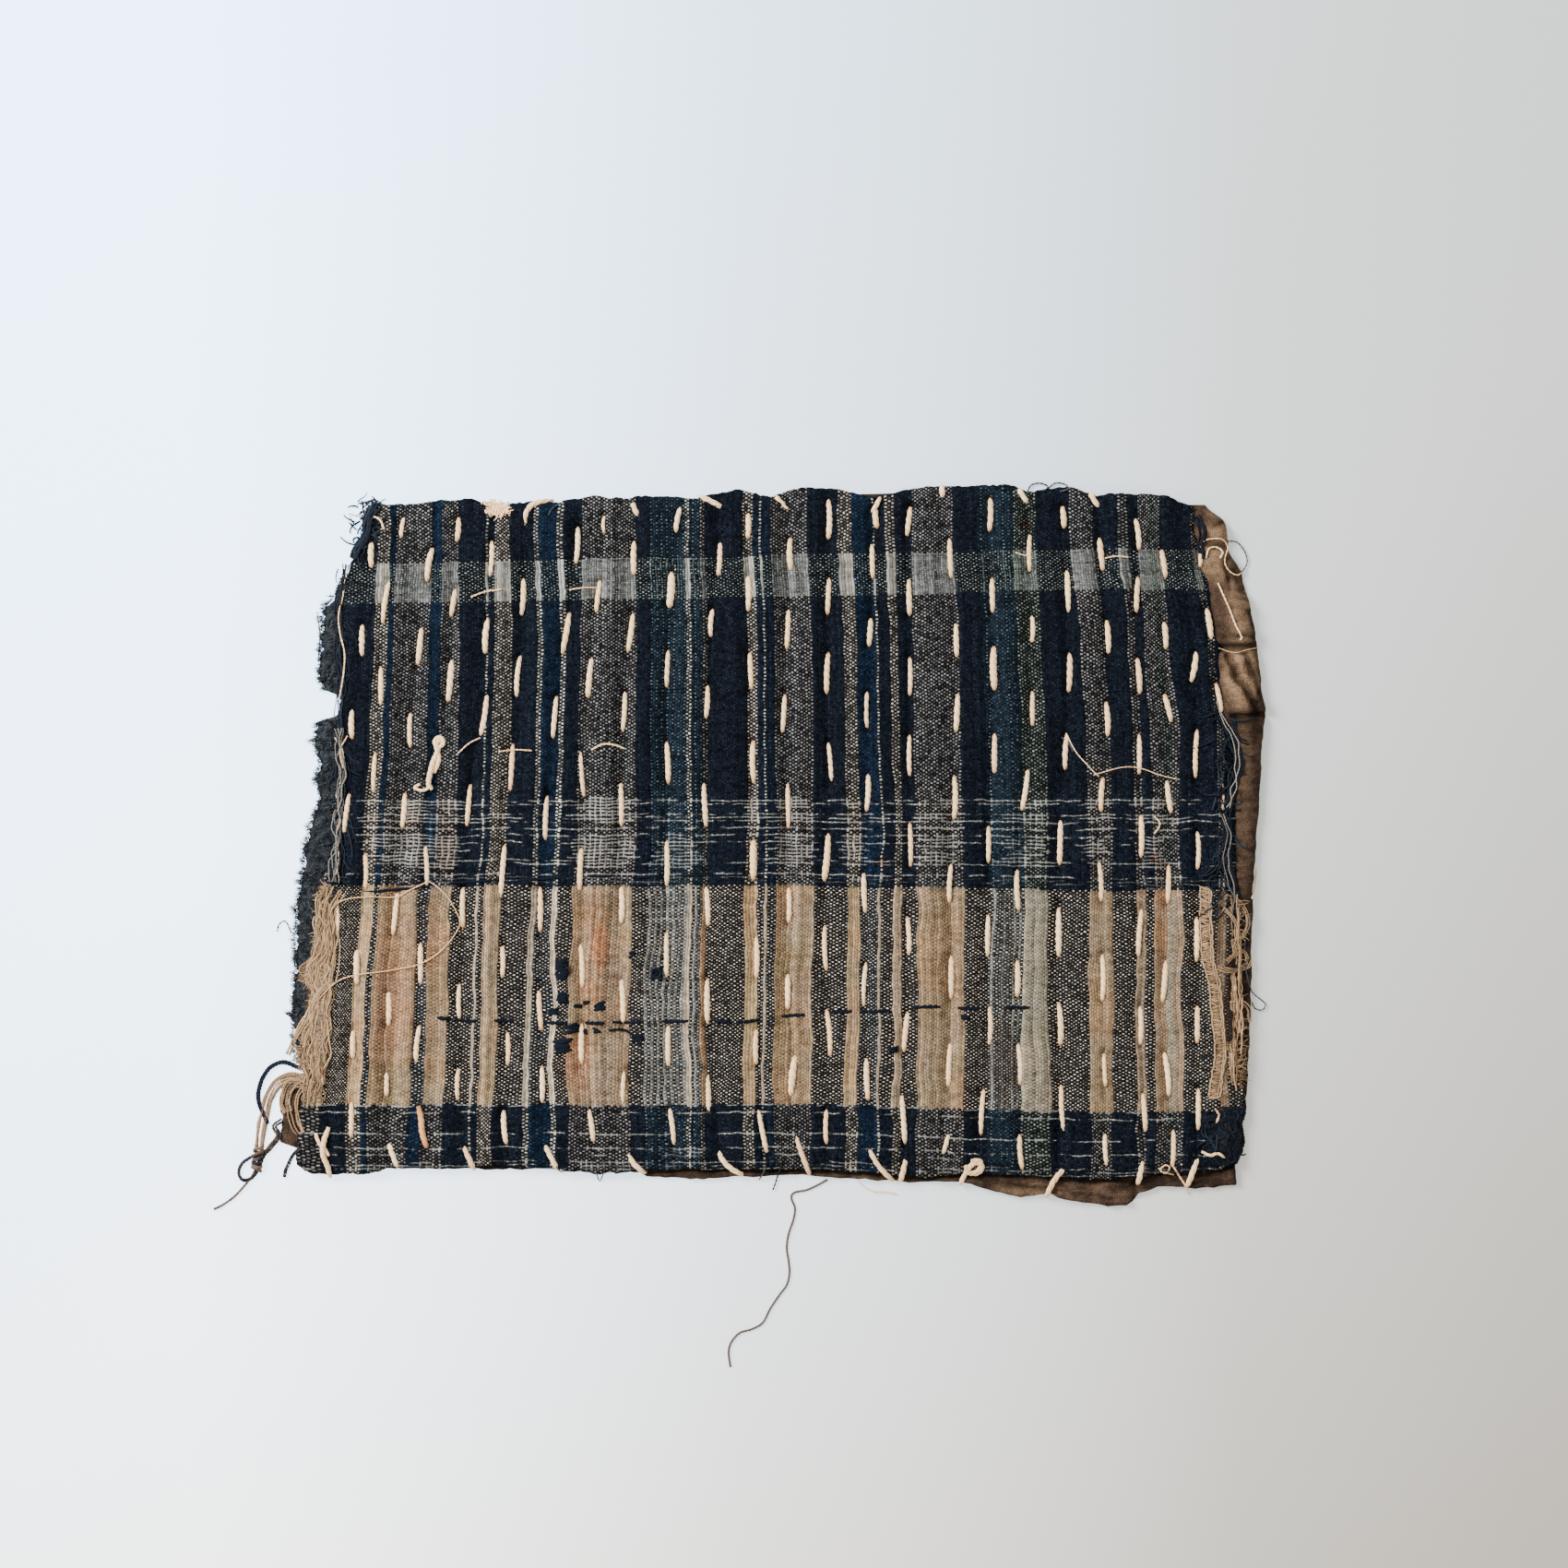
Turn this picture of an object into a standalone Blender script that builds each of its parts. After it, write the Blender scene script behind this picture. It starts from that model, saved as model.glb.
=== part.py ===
"""A boro rag: three layers of old cotton quilted together with upright rows of running stitches.

The face is one handwoven check cloth, puffed into a rib between each two stitch lines. A dark layer
shows at its left edge, frayed, and a brown backing shows on the right, where its edge is turned over,
and along the bottom. The rag lies flat on its back, face up, with its top edge towards +Y.

Places on the cloth are read by eye off a square photograph taken from above, in its pixels, x to the
right and y down. place() turns them into metres.
"""

import math
from collections import namedtuple

import bmesh
import bpy
from mathutils import Vector, noise

# Driving dimensions, in metres
CLOTH_WIDTH = 0.297          # face cloth at half height, edge to edge
BACKING_THICKNESS = 0.0010
DARK_THICKNESS = 0.0010
FACE_THICKNESS = 0.0010
GAP = 0.0003                 # between layers, which touch on the real rag
RIB_HEIGHT = 0.0016          # puff of the face between two stitch lines a rib's spacing apart
RIB_SPACING = 0.0132
RIB_UNEVENNESS = 0.35        # share by which the puff comes and goes
RIM_WIDTH = 0.006            # over which the puff dies away towards the face's edges
RIM_PUFF = 0.2               # share of the puff that is left at the very edge
DROOP_WIDTH = 0.0045         # over which the dark layer's free edge comes down to the surface
ROLL_RISE = 0.0013           # height of the turned edge, times the root of its width in millimetres
ROLL_LEAST = 0.0012          # width of the turned edge where the face covers it
CRUMPLE = 0.45               # share by which the turned edge's height comes and goes, crumpled or smooth
CRUMPLE_SMOOTH = 0.11
RIPPLE_HEIGHT = 0.0009       # of the backing below the bottom edge
RIPPLE_START = 0.002         # how far below the edge the ripples reach their height
FRINGE_STRIP = 0.0010        # width of the strip that the frayed ends stand on
YARN = 0.0008                # thick yarn of the loose ends, across
THREAD_DIAMETER = 0.0007     # the long loose thread
THREAD_POINTS = 44

# The photograph's scale and the pixel that the origin lies under
CLOTH_WIDTH_PX = 990
PX = CLOTH_WIDTH / CLOTH_WIDTH_PX
MM = 0.001
ORIGIN_X = 800.9
ORIGIN_Y = 918.4

UP = Vector((0.0, 0.0, 1.0))

# Outlines. Top and bottom edges are rows of x, y; left and right edges are rows of y, x.
FACE_TOP = [
    (398, 552), (405, 546), (440, 547), (480, 543), (510, 541), (540, 548), (580, 543), (607, 545),
    (640, 538), (680, 541), (700, 537), (757, 540), (800, 530), (835, 540), (860, 530), (900, 529),
    (950, 540), (990, 529), (1060, 526), (1095, 526), (1112, 533), (1157, 527), (1188, 537),
    (1215, 534), (1265, 538), (1292, 550),
]
FACE_BOTTOM = [
    (320, 1261), (340, 1273), (400, 1272), (430, 1265), (480, 1266), (540, 1264), (600, 1267),
    (650, 1272), (740, 1267), (840, 1267), (900, 1268), (1000, 1276), (1040, 1272), (1100, 1273),
    (1180, 1279), (1230, 1277), (1260, 1270), (1300, 1272), (1341, 1262),
]
FACE_LEFT = [
    (550, 398), (590, 388), (640, 374), (700, 371), (780, 369), (840, 367), (900, 363), (960, 352),
    (1000, 343), (1055, 333), (1100, 331), (1160, 330), (1200, 327), (1262, 320),
]
FACE_RIGHT = [
    (550, 1293), (600, 1300), (640, 1312), (700, 1322), (780, 1328), (800, 1338), (960, 1341),
    (990, 1346), (1100, 1349), (1190, 1349), (1215, 1345), (1262, 1341),
]
DARK_LEFT = [
    (552, 406), (600, 386), (625, 376), (645, 362), (660, 352), (700, 347), (735, 346), (750, 354),
    (757, 368), (776, 366), (783, 345), (800, 341), (830, 347), (845, 342), (865, 348), (895, 336),
    (920, 330), (965, 325), (1000, 321), (1055, 320), (1100, 317), (1148, 319), (1158, 334), (1267, 334),
]
BACKING_TOP = [
    (398, 556), (700, 542), (1000, 534), (1100, 532), (1200, 541), (1285, 547), (1300, 549), (1326, 558),
]
BACKING_LEFT = [
    (552, 423), (600, 404), (640, 386), (700, 366), (740, 364), (757, 385), (776, 384), (800, 362),
    (870, 365), (900, 353), (1000, 340), (1150, 338), (1161, 338), (1168, 306), (1238, 305), (1246, 326),
    (1268, 330),
]
BACKING_RIGHT = [
    (556, 1326), (600, 1332), (620, 1345), (660, 1356), (700, 1362), (770, 1371), (800, 1369),
    (880, 1364), (960, 1358), (1100, 1355), (1200, 1351), (1220, 1346), (1260, 1343), (1272, 1326),
    (1285, 1325),
]
BACKING_BOTTOM = [
    (305, 1262), (400, 1267), (690, 1268), (700, 1275), (750, 1279), (860, 1273), (940, 1279),
    (1000, 1282), (1040, 1280), (1080, 1293), (1110, 1298), (1135, 1294), (1150, 1300), (1180, 1305),
    (1200, 1308), (1226, 1306), (1232, 1293), (1260, 1287), (1315, 1288), (1326, 1285),
]

CRUMPLED_TO = 790            # the turned edge is crumpled above this height and smooth below it
FLAP_TOP = 1146              # below this height the backing's flap carries the dark layer's left edge
FLAP_EASE = 12
HIDDEN_INSET = 6             # how far the dark layer's hidden edges stay inside the face's
LEAST_HEM = 5                # least strip of backing below the last row under the face

# Stitch lines, left to right: each line's x where it passes these five heights
LINE_HEIGHTS = (560, 720, 900, 1080, 1250)
STITCH_LINES = [
    (406, 391, 375, 361, 356), (436, 415, 401, 386, 381), (474, 454, 437, 423, 424),
    (498, 489, 465, 456, 463), (535, 527, 508, 500, 505), (578, 564, 549, 547, 548),
    (630, 610, 592, 586, 597), (657, 641, 631, 631, 645), (690, 681, 674, 675, 688),
    (736, 725, 724, 724, 732), (779, 770, 765, 767, 782), (811, 814, 817, 820, 832),
    (856, 852, 854, 856, 868), (898, 897, 897, 897, 897), (949, 942, 939, 938, 944),
    (985, 986, 986, 983, 980), (1026, 1037, 1032, 1030, 1022), (1072, 1077, 1072, 1071, 1062),
    (1113, 1119, 1106, 1103, 1106), (1151, 1158, 1149, 1148, 1148), (1190, 1201, 1192, 1195, 1199),
    (1230, 1233, 1236, 1235, 1240), (1256, 1264, 1266, 1262, 1271), (1279, 1295, 1297, 1297, 1298),
]
STEPS_PER_RIB = 3
FACE_ROWS = 17

# Heights at which the backing and the dark layer have a row of points
BACKING_ROWS = (
    552, 578, 600, 622, 645, 668, 690, 712, 735, 758, 780, 810, 850, 900, 960, 1010, 1060, 1110, 1150,
    1161, 1168, 1203, 1238, 1246, 1262,
)
BACKING_COLUMNS = 32
ROLL_PROFILE = ((0.0, 0.30), (0.12, 0.78), (0.38, 1.00), (0.68, 0.86), (1.0, 0.0))   # shares: width, height
SETTLE_PASSES = 5            # rounds in which a grid point's x and y are worked out from each other
DARK_COLUMNS = 8
DARK_DROOP_STEPS = 3

# Frayed edges: where each begins and ends, how many ends it has, and their length at some heights
FrayedEdge = namedtuple("FrayedEdge", "top bottom ends lengths")
UPPER_FRAY = FrayedEdge(642, 748, 12, [(642, 4), (680, 8), (720, 6), (748, 5)])
LOWER_FRAY = FrayedEdge(788, 1144, 38, [(788, 5), (850, 8), (920, 6), (1000, 10), (1060, 6), (1144, 6)])
WEFT_FRAY = FrayedEdge(966, 1150, 20, [(966, 8), (1000, 11), (1040, 9), (1120, 12), (1138, 20), (1150, 9)])

# The loose bundle at the bottom left corner: a knot, and what leaves it
KNOT_CENTRE = (281, 1254)
KNOT_SIZE = (0.0026, 0.0060, 0.0018)
TAN_STRAND = [
    (281, 1236), (282, 1222), (285, 1206), (287, 1191), (295, 1177), (307, 1168), (320, 1162), (328, 1160),
]
DARK_STRAND = [
    (291, 1246), (300, 1237), (300, 1226), (293, 1214), (284, 1203), (279, 1193), (281, 1178), (287, 1165),
    (298, 1156), (311, 1153),
]
LOOP_STRAND = [(272, 1254), (263, 1260), (259, 1269), (262, 1276), (268, 1276)]
TAIL_STRAND = [(280, 1270), (275, 1281), (264, 1289), (253, 1297), (242, 1306), (232, 1310)]
CROSSING = (284, 1205)       # where the dark strand goes over the tan one
CROSSING_REACH = 24

# The long loose thread, from the bottom edge down
THREAD_ROUTE = [
    (897, 1279), (888, 1284), (875, 1290), (861, 1293), (858, 1299), (862, 1310), (860, 1323), (855, 1338),
    (853, 1353), (855, 1367), (856, 1380), (853, 1393), (845, 1404), (835, 1419), (827, 1434), (815, 1441),
    (802, 1445), (793, 1455), (790, 1466), (792, 1482),
]


def place(px, py, z=0.0):
    """The point in metres that lies under a pixel of the photograph."""
    return Vector(((px - ORIGIN_X) * PX, (ORIGIN_Y - py) * PX, z))


def read(rows, at):
    """The second column of a two-column table where the first column is at, in straight runs."""
    if at <= rows[0][0]:
        return rows[0][1]
    for low, high in zip(rows, rows[1:]):
        if at <= high[0]:
            return low[1] + (high[1] - low[1]) * (at - low[0]) / (high[0] - low[0])
    return rows[-1][1]


def smooth(share):
    """A soft step from 0 to 1."""
    share = min(max(share, 0.0), 1.0)
    return share * share * (3.0 - 2.0 * share)


def uneven(px, py, pitch, seed):
    """Slow wandering between -1 and 1, with bumps about pitch pixels apart."""
    return noise.noise(Vector((px / pitch, py / pitch, seed)))


def dark_top(px, py):
    """Height of the dark layer's upper side, down on the surface at its left edge but over the flap."""
    inside = smooth((px - read(DARK_LEFT, py)) * PX / DROOP_WIDTH)
    over_flap = smooth((py - FLAP_TOP) / FLAP_EASE)
    return (BACKING_THICKNESS + GAP) * max(inside, over_flap) + DARK_THICKNESS


def face_bottom(px, py, rib, width):
    """Height of the face's underside: close on the dark layer at a stitch line, puffed between two."""
    to_side = min(px - read(FACE_LEFT, py), read(FACE_RIGHT, py) - px) * PX
    to_end = min(py - read(FACE_TOP, px), read(FACE_BOTTOM, px) - py) * PX
    rim = RIM_PUFF + (1.0 - RIM_PUFF) * smooth(min(to_side, to_end) / RIM_WIDTH)
    puff = RIB_HEIGHT * min(width * PX / RIB_SPACING, 1.15)
    puff *= 1.0 + RIB_UNEVENNESS * uneven(px, py, 55.0, 3.0)
    return BACKING_THICKNESS + DARK_THICKNESS + 2 * GAP + puff * rim * math.sin(math.pi * rib) ** 0.8


def line_x(line, py):
    """Where a stitch line passes the height py."""
    return read(list(zip(LINE_HEIGHTS, line)), py)


def roll_width(py):
    """Width in metres of the backing's turned edge, which fills what the face leaves bare."""
    return max((read(BACKING_RIGHT, py) - read(FACE_RIGHT, py)) * PX - 2 * GAP, ROLL_LEAST)


def backing_top(px, py):
    """Height of the backing's upper side: flat under the face, turned over at the right, rippled below."""
    from_right = (read(BACKING_RIGHT, py) - px) * PX
    width = roll_width(py)
    height = ROLL_RISE * math.sqrt(width / MM) - BACKING_THICKNESS
    crumple = 1.0 + (CRUMPLE if py < CRUMPLED_TO else CRUMPLE_SMOOTH) * uneven(px, py, 22.0, 9.0)
    roll = height * crumple * read(ROLL_PROFILE, from_right / width)
    below = (py - read(FACE_BOTTOM, px)) * PX
    ripple = RIPPLE_HEIGHT * smooth(below / RIPPLE_START) * (1.0 + uneven(px, py, 14.0, 5.0))
    return BACKING_THICKNESS + max(roll, 0.0) + ripple


def material(name, colour, roughness=0.9):
    """A plain cloth material."""
    made = bpy.data.materials.new(name)
    made.use_nodes = True
    shader = made.node_tree.nodes["Principled BSDF"]
    shader.inputs["Base Color"].default_value = (*colour, 1.0)
    shader.inputs["Roughness"].default_value = roughness
    shader.inputs["Metallic"].default_value = 0.0
    made.diffuse_color = (*colour, 1.0)
    return made


def add_object(name, data, collection, colour):
    """Put mesh or curve data in the collection under the node's name, with a material of its own."""
    data.name = name
    data.materials.append(material(name, colour))
    made = bpy.data.objects.new(name, data)
    collection.objects.link(made)
    return made


def add_mesh(name, bm, collection, colour):
    """Turn a finished bmesh into an object, faces outwards."""
    bmesh.ops.recalc_face_normals(bm, faces=bm.faces)
    mesh = bpy.data.meshes.new(name)
    bm.to_mesh(mesh)
    bm.free()
    mesh.shade_smooth()
    mesh.set_sharp_from_angle(angle=math.radians(50))
    return add_object(name, mesh, collection, colour)


def sheet(columns, rows, top_point, bottom_height):
    """A closed sheet: a grid whose upper side follows top_point(column, row), with bottom_height below it.

    bottom_height takes a point of the upper side and gives the height of the underside there.
    """
    bm = bmesh.new()
    bmesh.ops.create_grid(bm, x_segments=columns, y_segments=rows, size=1.0)
    for vert in bm.verts:
        column = round((vert.co.x + 1.0) / 2.0 * columns)
        row = round((1.0 - vert.co.y) / 2.0 * rows)
        vert.co = top_point(column, row)
    upper = list(bm.verts)
    grown = bmesh.ops.extrude_face_region(bm, geom=bm.faces[:])["geom"]
    for vert in grown:
        if isinstance(vert, bmesh.types.BMVert):
            vert.co.z = bottom_height(vert.co)
    return bm, upper


def face_cloth(collection):
    """The check cloth, with a grid line on every stitch line and two between each pair."""
    columns = (len(STITCH_LINES) + 1) * STEPS_PER_RIB

    def bound(index, py):
        if index < 0:
            return read(FACE_LEFT, py)
        if index >= len(STITCH_LINES):
            return read(FACE_RIGHT, py)
        return line_x(STITCH_LINES[index], py)

    def top_point(column, row):
        down = row / FACE_ROWS
        rib, step = divmod(column, STEPS_PER_RIB)
        share = step / STEPS_PER_RIB
        py = FACE_TOP[0][1] * (1.0 - down) + FACE_BOTTOM[0][1] * down
        for _ in range(SETTLE_PASSES):
            low = bound(rib - 1, py)
            high = bound(rib, py) if column < columns else low
            px = low + (high - low) * share
            py = read(FACE_TOP, px) * (1.0 - down) + read(FACE_BOTTOM, px) * down
        return place(px, py, face_bottom(px, py, share, high - low) + FACE_THICKNESS)

    bm, _ = sheet(columns, FACE_ROWS, top_point, lambda co: co.z - FACE_THICKNESS)
    return add_mesh("face_cloth", bm, collection, (0.12, 0.12, 0.13))


def dark_layer(collection):
    """The dark layer: level over the backing, down on the surface at its frayed left edge."""
    columns = DARK_DROOP_STEPS + DARK_COLUMNS
    first = DARK_LEFT[0][0]
    span = DARK_LEFT[-1][0] - first

    def top_point(column, row):
        down = (DARK_LEFT[row][0] - first) / span
        py = DARK_LEFT[row][0]
        for _ in range(SETTLE_PASSES):
            left = read(DARK_LEFT, py)
            level = left + DROOP_WIDTH / PX
            if column <= DARK_DROOP_STEPS:
                px = left + (level - left) * column / DARK_DROOP_STEPS
            else:
                share = (column - DARK_DROOP_STEPS) / DARK_COLUMNS
                px = level + (read(FACE_RIGHT, py) - HIDDEN_INSET - level) * share
            top = read(FACE_TOP, max(px, DARK_LEFT[0][1])) + HIDDEN_INSET
            bottom = read(FACE_BOTTOM, max(px, FACE_BOTTOM[1][0])) - HIDDEN_INSET
            py = top * (1.0 - down) + bottom * down
        return place(px, py, dark_top(px, py))

    bm, _ = sheet(columns, len(DARK_LEFT) - 1, top_point, lambda co: co.z - DARK_THICKNESS)
    return add_mesh("dark_layer", bm, collection, (0.015, 0.018, 0.028))


def backing_cloth(collection):
    """The brown backing: flat underneath, its right edge turned over, rippled along the bottom."""
    roll_steps = len(ROLL_PROFILE) - 1
    columns = BACKING_COLUMNS + roll_steps
    rows = len(BACKING_ROWS) + 1
    first = BACKING_ROWS[0]
    span = BACKING_ROWS[-1] - first

    def top_point(column, row):
        inner = min(row, len(BACKING_ROWS) - 1)
        down = (BACKING_ROWS[inner] - first) / span
        below = (row - inner) / 2.0
        py = BACKING_ROWS[inner]
        for _ in range(SETTLE_PASSES):
            left = read(BACKING_LEFT, py)
            right = read(BACKING_RIGHT, py)
            roll = roll_width(py) / PX
            if column <= BACKING_COLUMNS:
                px = left + (right - roll - left) * column / BACKING_COLUMNS
            else:
                px = right - roll * ROLL_PROFILE[columns - column][0]
            bottom = read(BACKING_BOTTOM, px)
            hem = min(read(FACE_BOTTOM, px), bottom - LEAST_HEM)
            py = read(BACKING_TOP, px) * (1.0 - down) + hem * down + (bottom - hem) * below
        return place(px, py, backing_top(px, py))

    bm, upper = sheet(columns, rows, top_point, lambda co: 0.0)
    under = [face for face in bm.faces if not any(vert in upper for vert in face.verts)]
    bmesh.ops.dissolve_faces(bm, faces=under)
    return add_mesh("backing_cloth", bm, collection, (0.16, 0.10, 0.06))


Ring = namedtuple("Ring", "centre direction half_width half_height")

# Sections of a frayed end: share of its length, and half width and half height as shares of a yarn
FRAYED_SECTIONS = ((0.55, 0.30, 0.42), (1.0, 0.18, 0.22))


def grow(bm, face, rings):
    """Draw a strand out of a face: each ring in turn is the strand's four-cornered section."""
    for ring in rings:
        face.normal_update()
        across = UP.cross(face.normal).normalized()
        middle = face.calc_center_median()
        face = bmesh.ops.extrude_discrete_faces(bm, faces=[face])["faces"][0]
        new_across = UP.cross(ring.direction).normalized()
        for vert in face.verts:
            offset = vert.co - middle
            sideways = math.copysign(ring.half_width, offset.dot(across))
            upwards = math.copysign(ring.half_height, offset.z)
            vert.co = ring.centre + new_across * sideways + UP * upwards


def frayed_edge(name, collection, fray, edge, ground, colour):
    """A strip that runs down a left edge, with loose ends drawn out of every other face of its outer side.

    edge(py) is where the cloth's edge is, and ground(px, py) the height that the ends lie at.
    """
    steps = fray.ends * 2 + 1

    def top_point(column, row):
        py = fray.top + (fray.bottom - fray.top) * row / steps
        px = edge(py) - (GAP + FRINGE_STRIP * (1 - column)) / PX
        return place(px, py, ground(px, py) + YARN)

    bm, _ = sheet(1, steps, top_point, lambda co: co.z - YARN)
    bmesh.ops.recalc_face_normals(bm, faces=bm.faces)
    outer = [face for face in bm.faces if face.normal.x < -0.3 and abs(face.normal.z) < 0.5]
    outer.sort(key=lambda face: -face.calc_center_median().y)
    for index, face in enumerate(outer[1::2]):
        root = face.calc_center_median()
        py = ORIGIN_Y - root.y / PX
        sway = uneven(index, 0, 1.7, 7.0)
        length = read(fray.lengths, py) * PX * (1.0 + 0.4 * uneven(index, 0, 1.3, 2.0))
        heading = Vector((-1.0, 0.5 * sway, 0.0)).normalized()
        rings = []
        for share, width, height in FRAYED_SECTIONS:
            spot = root + heading * length * share
            half = YARN * height
            spot.z = ground(ORIGIN_X + spot.x / PX, py) + half
            rings.append(Ring(spot, heading, YARN * width, half))
        grow(bm, face, rings)
    return add_mesh(name, bm, collection, colour)


def strand_rings(route, lift=lambda px, py: 0.0):
    """Sections of a loose yarn that lies on the surface along a route of pixels."""
    rings = []
    for index, (px, py) in enumerate(route):
        before = route[max(index - 1, 0)]
        after = route[min(index + 1, len(route) - 1)]
        direction = (place(*after) - place(*before)).normalized()
        half = YARN / 2.0 * (0.6 if index == len(route) - 1 else 1.0)
        rings.append(Ring(place(px, py, half + lift(px, py)), direction, half, half))
    return rings


def corner_threads(collection):
    """The knot at the bottom left corner, with two strands up to the cloth, a loop and a tail."""

    def hump(px, py):
        away = math.dist((px, py), CROSSING) / CROSSING_REACH
        return (YARN + GAP) * 1.25 * smooth(1.4 * (1.0 - away))

    bm = bmesh.new()
    bmesh.ops.create_cube(bm, size=1.0)
    centre = place(*KNOT_CENTRE, KNOT_SIZE[2] / 2.0)
    for vert in bm.verts:
        vert.co = Vector(side * size for side, size in zip(vert.co, KNOT_SIZE)) + centre
    sides = {(round(face.normal.x), round(face.normal.y)): face for face in bm.faces}
    grow(bm, sides[0, 1], strand_rings(TAN_STRAND))
    grow(bm, sides[1, 0], strand_rings(DARK_STRAND, hump))
    grow(bm, sides[-1, 0], strand_rings(LOOP_STRAND))
    grow(bm, sides[0, -1], strand_rings(TAIL_STRAND))
    return add_mesh("corner_threads", bm, collection, (0.20, 0.17, 0.14))


def smooth_route(points, count):
    """Evenly spaced points on a curve that passes softly through each given point."""
    dense = []
    padded = [points[0] * 2 - points[1], *points, points[-1] * 2 - points[-2]]
    for before, start, end, after in zip(padded, padded[1:], padded[2:], padded[3:]):
        for step in range(8):
            t = step / 8.0
            pull = (end - before) * t + (before * 2 - start * 5 + end * 4 - after) * t ** 2
            dense.append(start + (pull + (start * 3 - before - end * 3 + after) * t ** 3) / 2)
    dense.append(points[-1])
    walked = [0.0]
    for start, end in zip(dense, dense[1:]):
        walked.append(walked[-1] + (end - start).length)
    even = []
    for index in range(count):
        target = walked[-1] * index / (count - 1)
        spot = next(k for k in range(1, len(walked)) if walked[k] >= target - 1e-12)
        share = (target - walked[spot - 1]) / (walked[spot] - walked[spot - 1])
        even.append(dense[spot - 1].lerp(dense[spot], share))
    return even


def hanging_thread(collection):
    """The long loose thread, a tube on the surface."""
    radius = THREAD_DIAMETER / 2.0
    points = smooth_route([place(px, py, radius) for px, py in THREAD_ROUTE], THREAD_POINTS)
    curve = bpy.data.curves.new("hanging_thread", "CURVE")
    curve.dimensions = "3D"
    curve.bevel_depth = radius
    curve.bevel_resolution = 2
    curve.use_fill_caps = True
    spline = curve.splines.new("POLY")
    spline.points.add(len(points) - 1)
    for spot, point in zip(spline.points, points):
        spot.co = (*point, 1.0)
    return add_object("hanging_thread", curve, collection, (0.25, 0.23, 0.21))


def clear_scene():
    """Start from nothing."""
    for old in list(bpy.data.objects):
        bpy.data.objects.remove(old, do_unlink=True)


def main():
    clear_scene()
    collection = bpy.data.collections.new("boro_rag")
    bpy.context.scene.collection.children.link(collection)
    backing_cloth(collection)
    dark_layer(collection)
    face_cloth(collection)

    def dark_edge(py):
        return read(DARK_LEFT, py)

    def face_edge(py):
        return read(FACE_LEFT, py)

    def surface(px, py):
        return 0.0

    def on_dark_layer(px, py):
        return dark_top(px + 6, py) + 1.5 * GAP

    dark = (0.02, 0.022, 0.035)
    frayed_edge("dark_fringe_upper", collection, UPPER_FRAY, dark_edge, surface, dark)
    frayed_edge("dark_fringe_lower", collection, LOWER_FRAY, dark_edge, surface, dark)
    frayed_edge("weft_fringe", collection, WEFT_FRAY, face_edge, on_dark_layer, (0.45, 0.38, 0.28))
    corner_threads(collection)
    hanging_thread(collection)


main()
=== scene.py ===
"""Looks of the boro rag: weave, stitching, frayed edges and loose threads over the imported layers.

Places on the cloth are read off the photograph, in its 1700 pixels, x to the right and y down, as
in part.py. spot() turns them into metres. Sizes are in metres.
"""

import math

import bpy
import numpy as np
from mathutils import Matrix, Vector
from mathutils.bvhtree import BVHTree


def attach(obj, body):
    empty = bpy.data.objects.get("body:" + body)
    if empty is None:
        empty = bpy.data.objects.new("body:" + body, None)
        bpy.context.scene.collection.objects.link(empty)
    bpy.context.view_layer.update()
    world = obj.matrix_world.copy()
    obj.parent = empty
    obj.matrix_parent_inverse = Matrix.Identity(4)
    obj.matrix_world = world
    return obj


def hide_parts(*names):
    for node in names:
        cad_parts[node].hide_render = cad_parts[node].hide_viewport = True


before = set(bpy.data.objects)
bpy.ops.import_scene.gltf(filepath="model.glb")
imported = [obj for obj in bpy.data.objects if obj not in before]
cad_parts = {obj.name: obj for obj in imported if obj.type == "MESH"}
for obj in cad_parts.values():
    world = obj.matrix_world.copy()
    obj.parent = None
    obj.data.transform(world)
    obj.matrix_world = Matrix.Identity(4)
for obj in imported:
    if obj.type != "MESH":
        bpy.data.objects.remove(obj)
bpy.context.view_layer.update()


def table(text):
    """Rows of numbers: the numbers parted by spaces, the rows by commas."""
    return [tuple(float(number) for number in row.split()) for row in text.split(",")]


def threads(text):
    """Threads parted by semicolons: a radius, a colon and the places that the thread passes."""
    rows = [row.split(":") for row in text.split(";")]
    return [(float(radius), table(route)) for radius, route in rows]


# The photograph's scale, the pixel over the origin and the pixel at the picture's middle
PX = 0.0003
ORIGIN_X = 800.9
ORIGIN_Y = 918.4
MIDDLE = 850
PICTURE_SPAN = 1700 * PX
CAMERA_HEIGHT = 1.3
SENSOR = 36.0

# The window light, the sky, and the painted light that the surface under the cloth gives off as a glow
WINDOW_PLACE = (-0.90, 0.62, 0.85)
WINDOW_SIZE = 0.55
WINDOW_POWER = 52.0
SKY_STRENGTH = 1.25
FLOOR_SIZE = 6.0
FLOOR_PAINTED_GLOW = 7.2
FLOOR_SHARE = 1.96

# The face's upper side, the height of its ribs, how many pixels apart usual ribs lie, how far its edges
# drop, and the lowest height of any cloth or thread
FACE_TOP_Z = 0.0036
RIB_HEIGHT = 0.0016
RIB_SPACING = 44.0
EDGE_DROP = 0.0007
LOWEST_Z = 0.00002

# The face's size in pixels
FACE_WIDE, FACE_TALL = 990, 730

# The quilting thread, and what it does to the cloth: a trough along it, a hole at each end and puckers
# round the hole
STITCH_RADIUS = 0.00091
TROUGH_DEPTH = 0.00065
HOLE_DEPTH = 0.00055
PUCKER_HEIGHT = 0.00016

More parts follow.
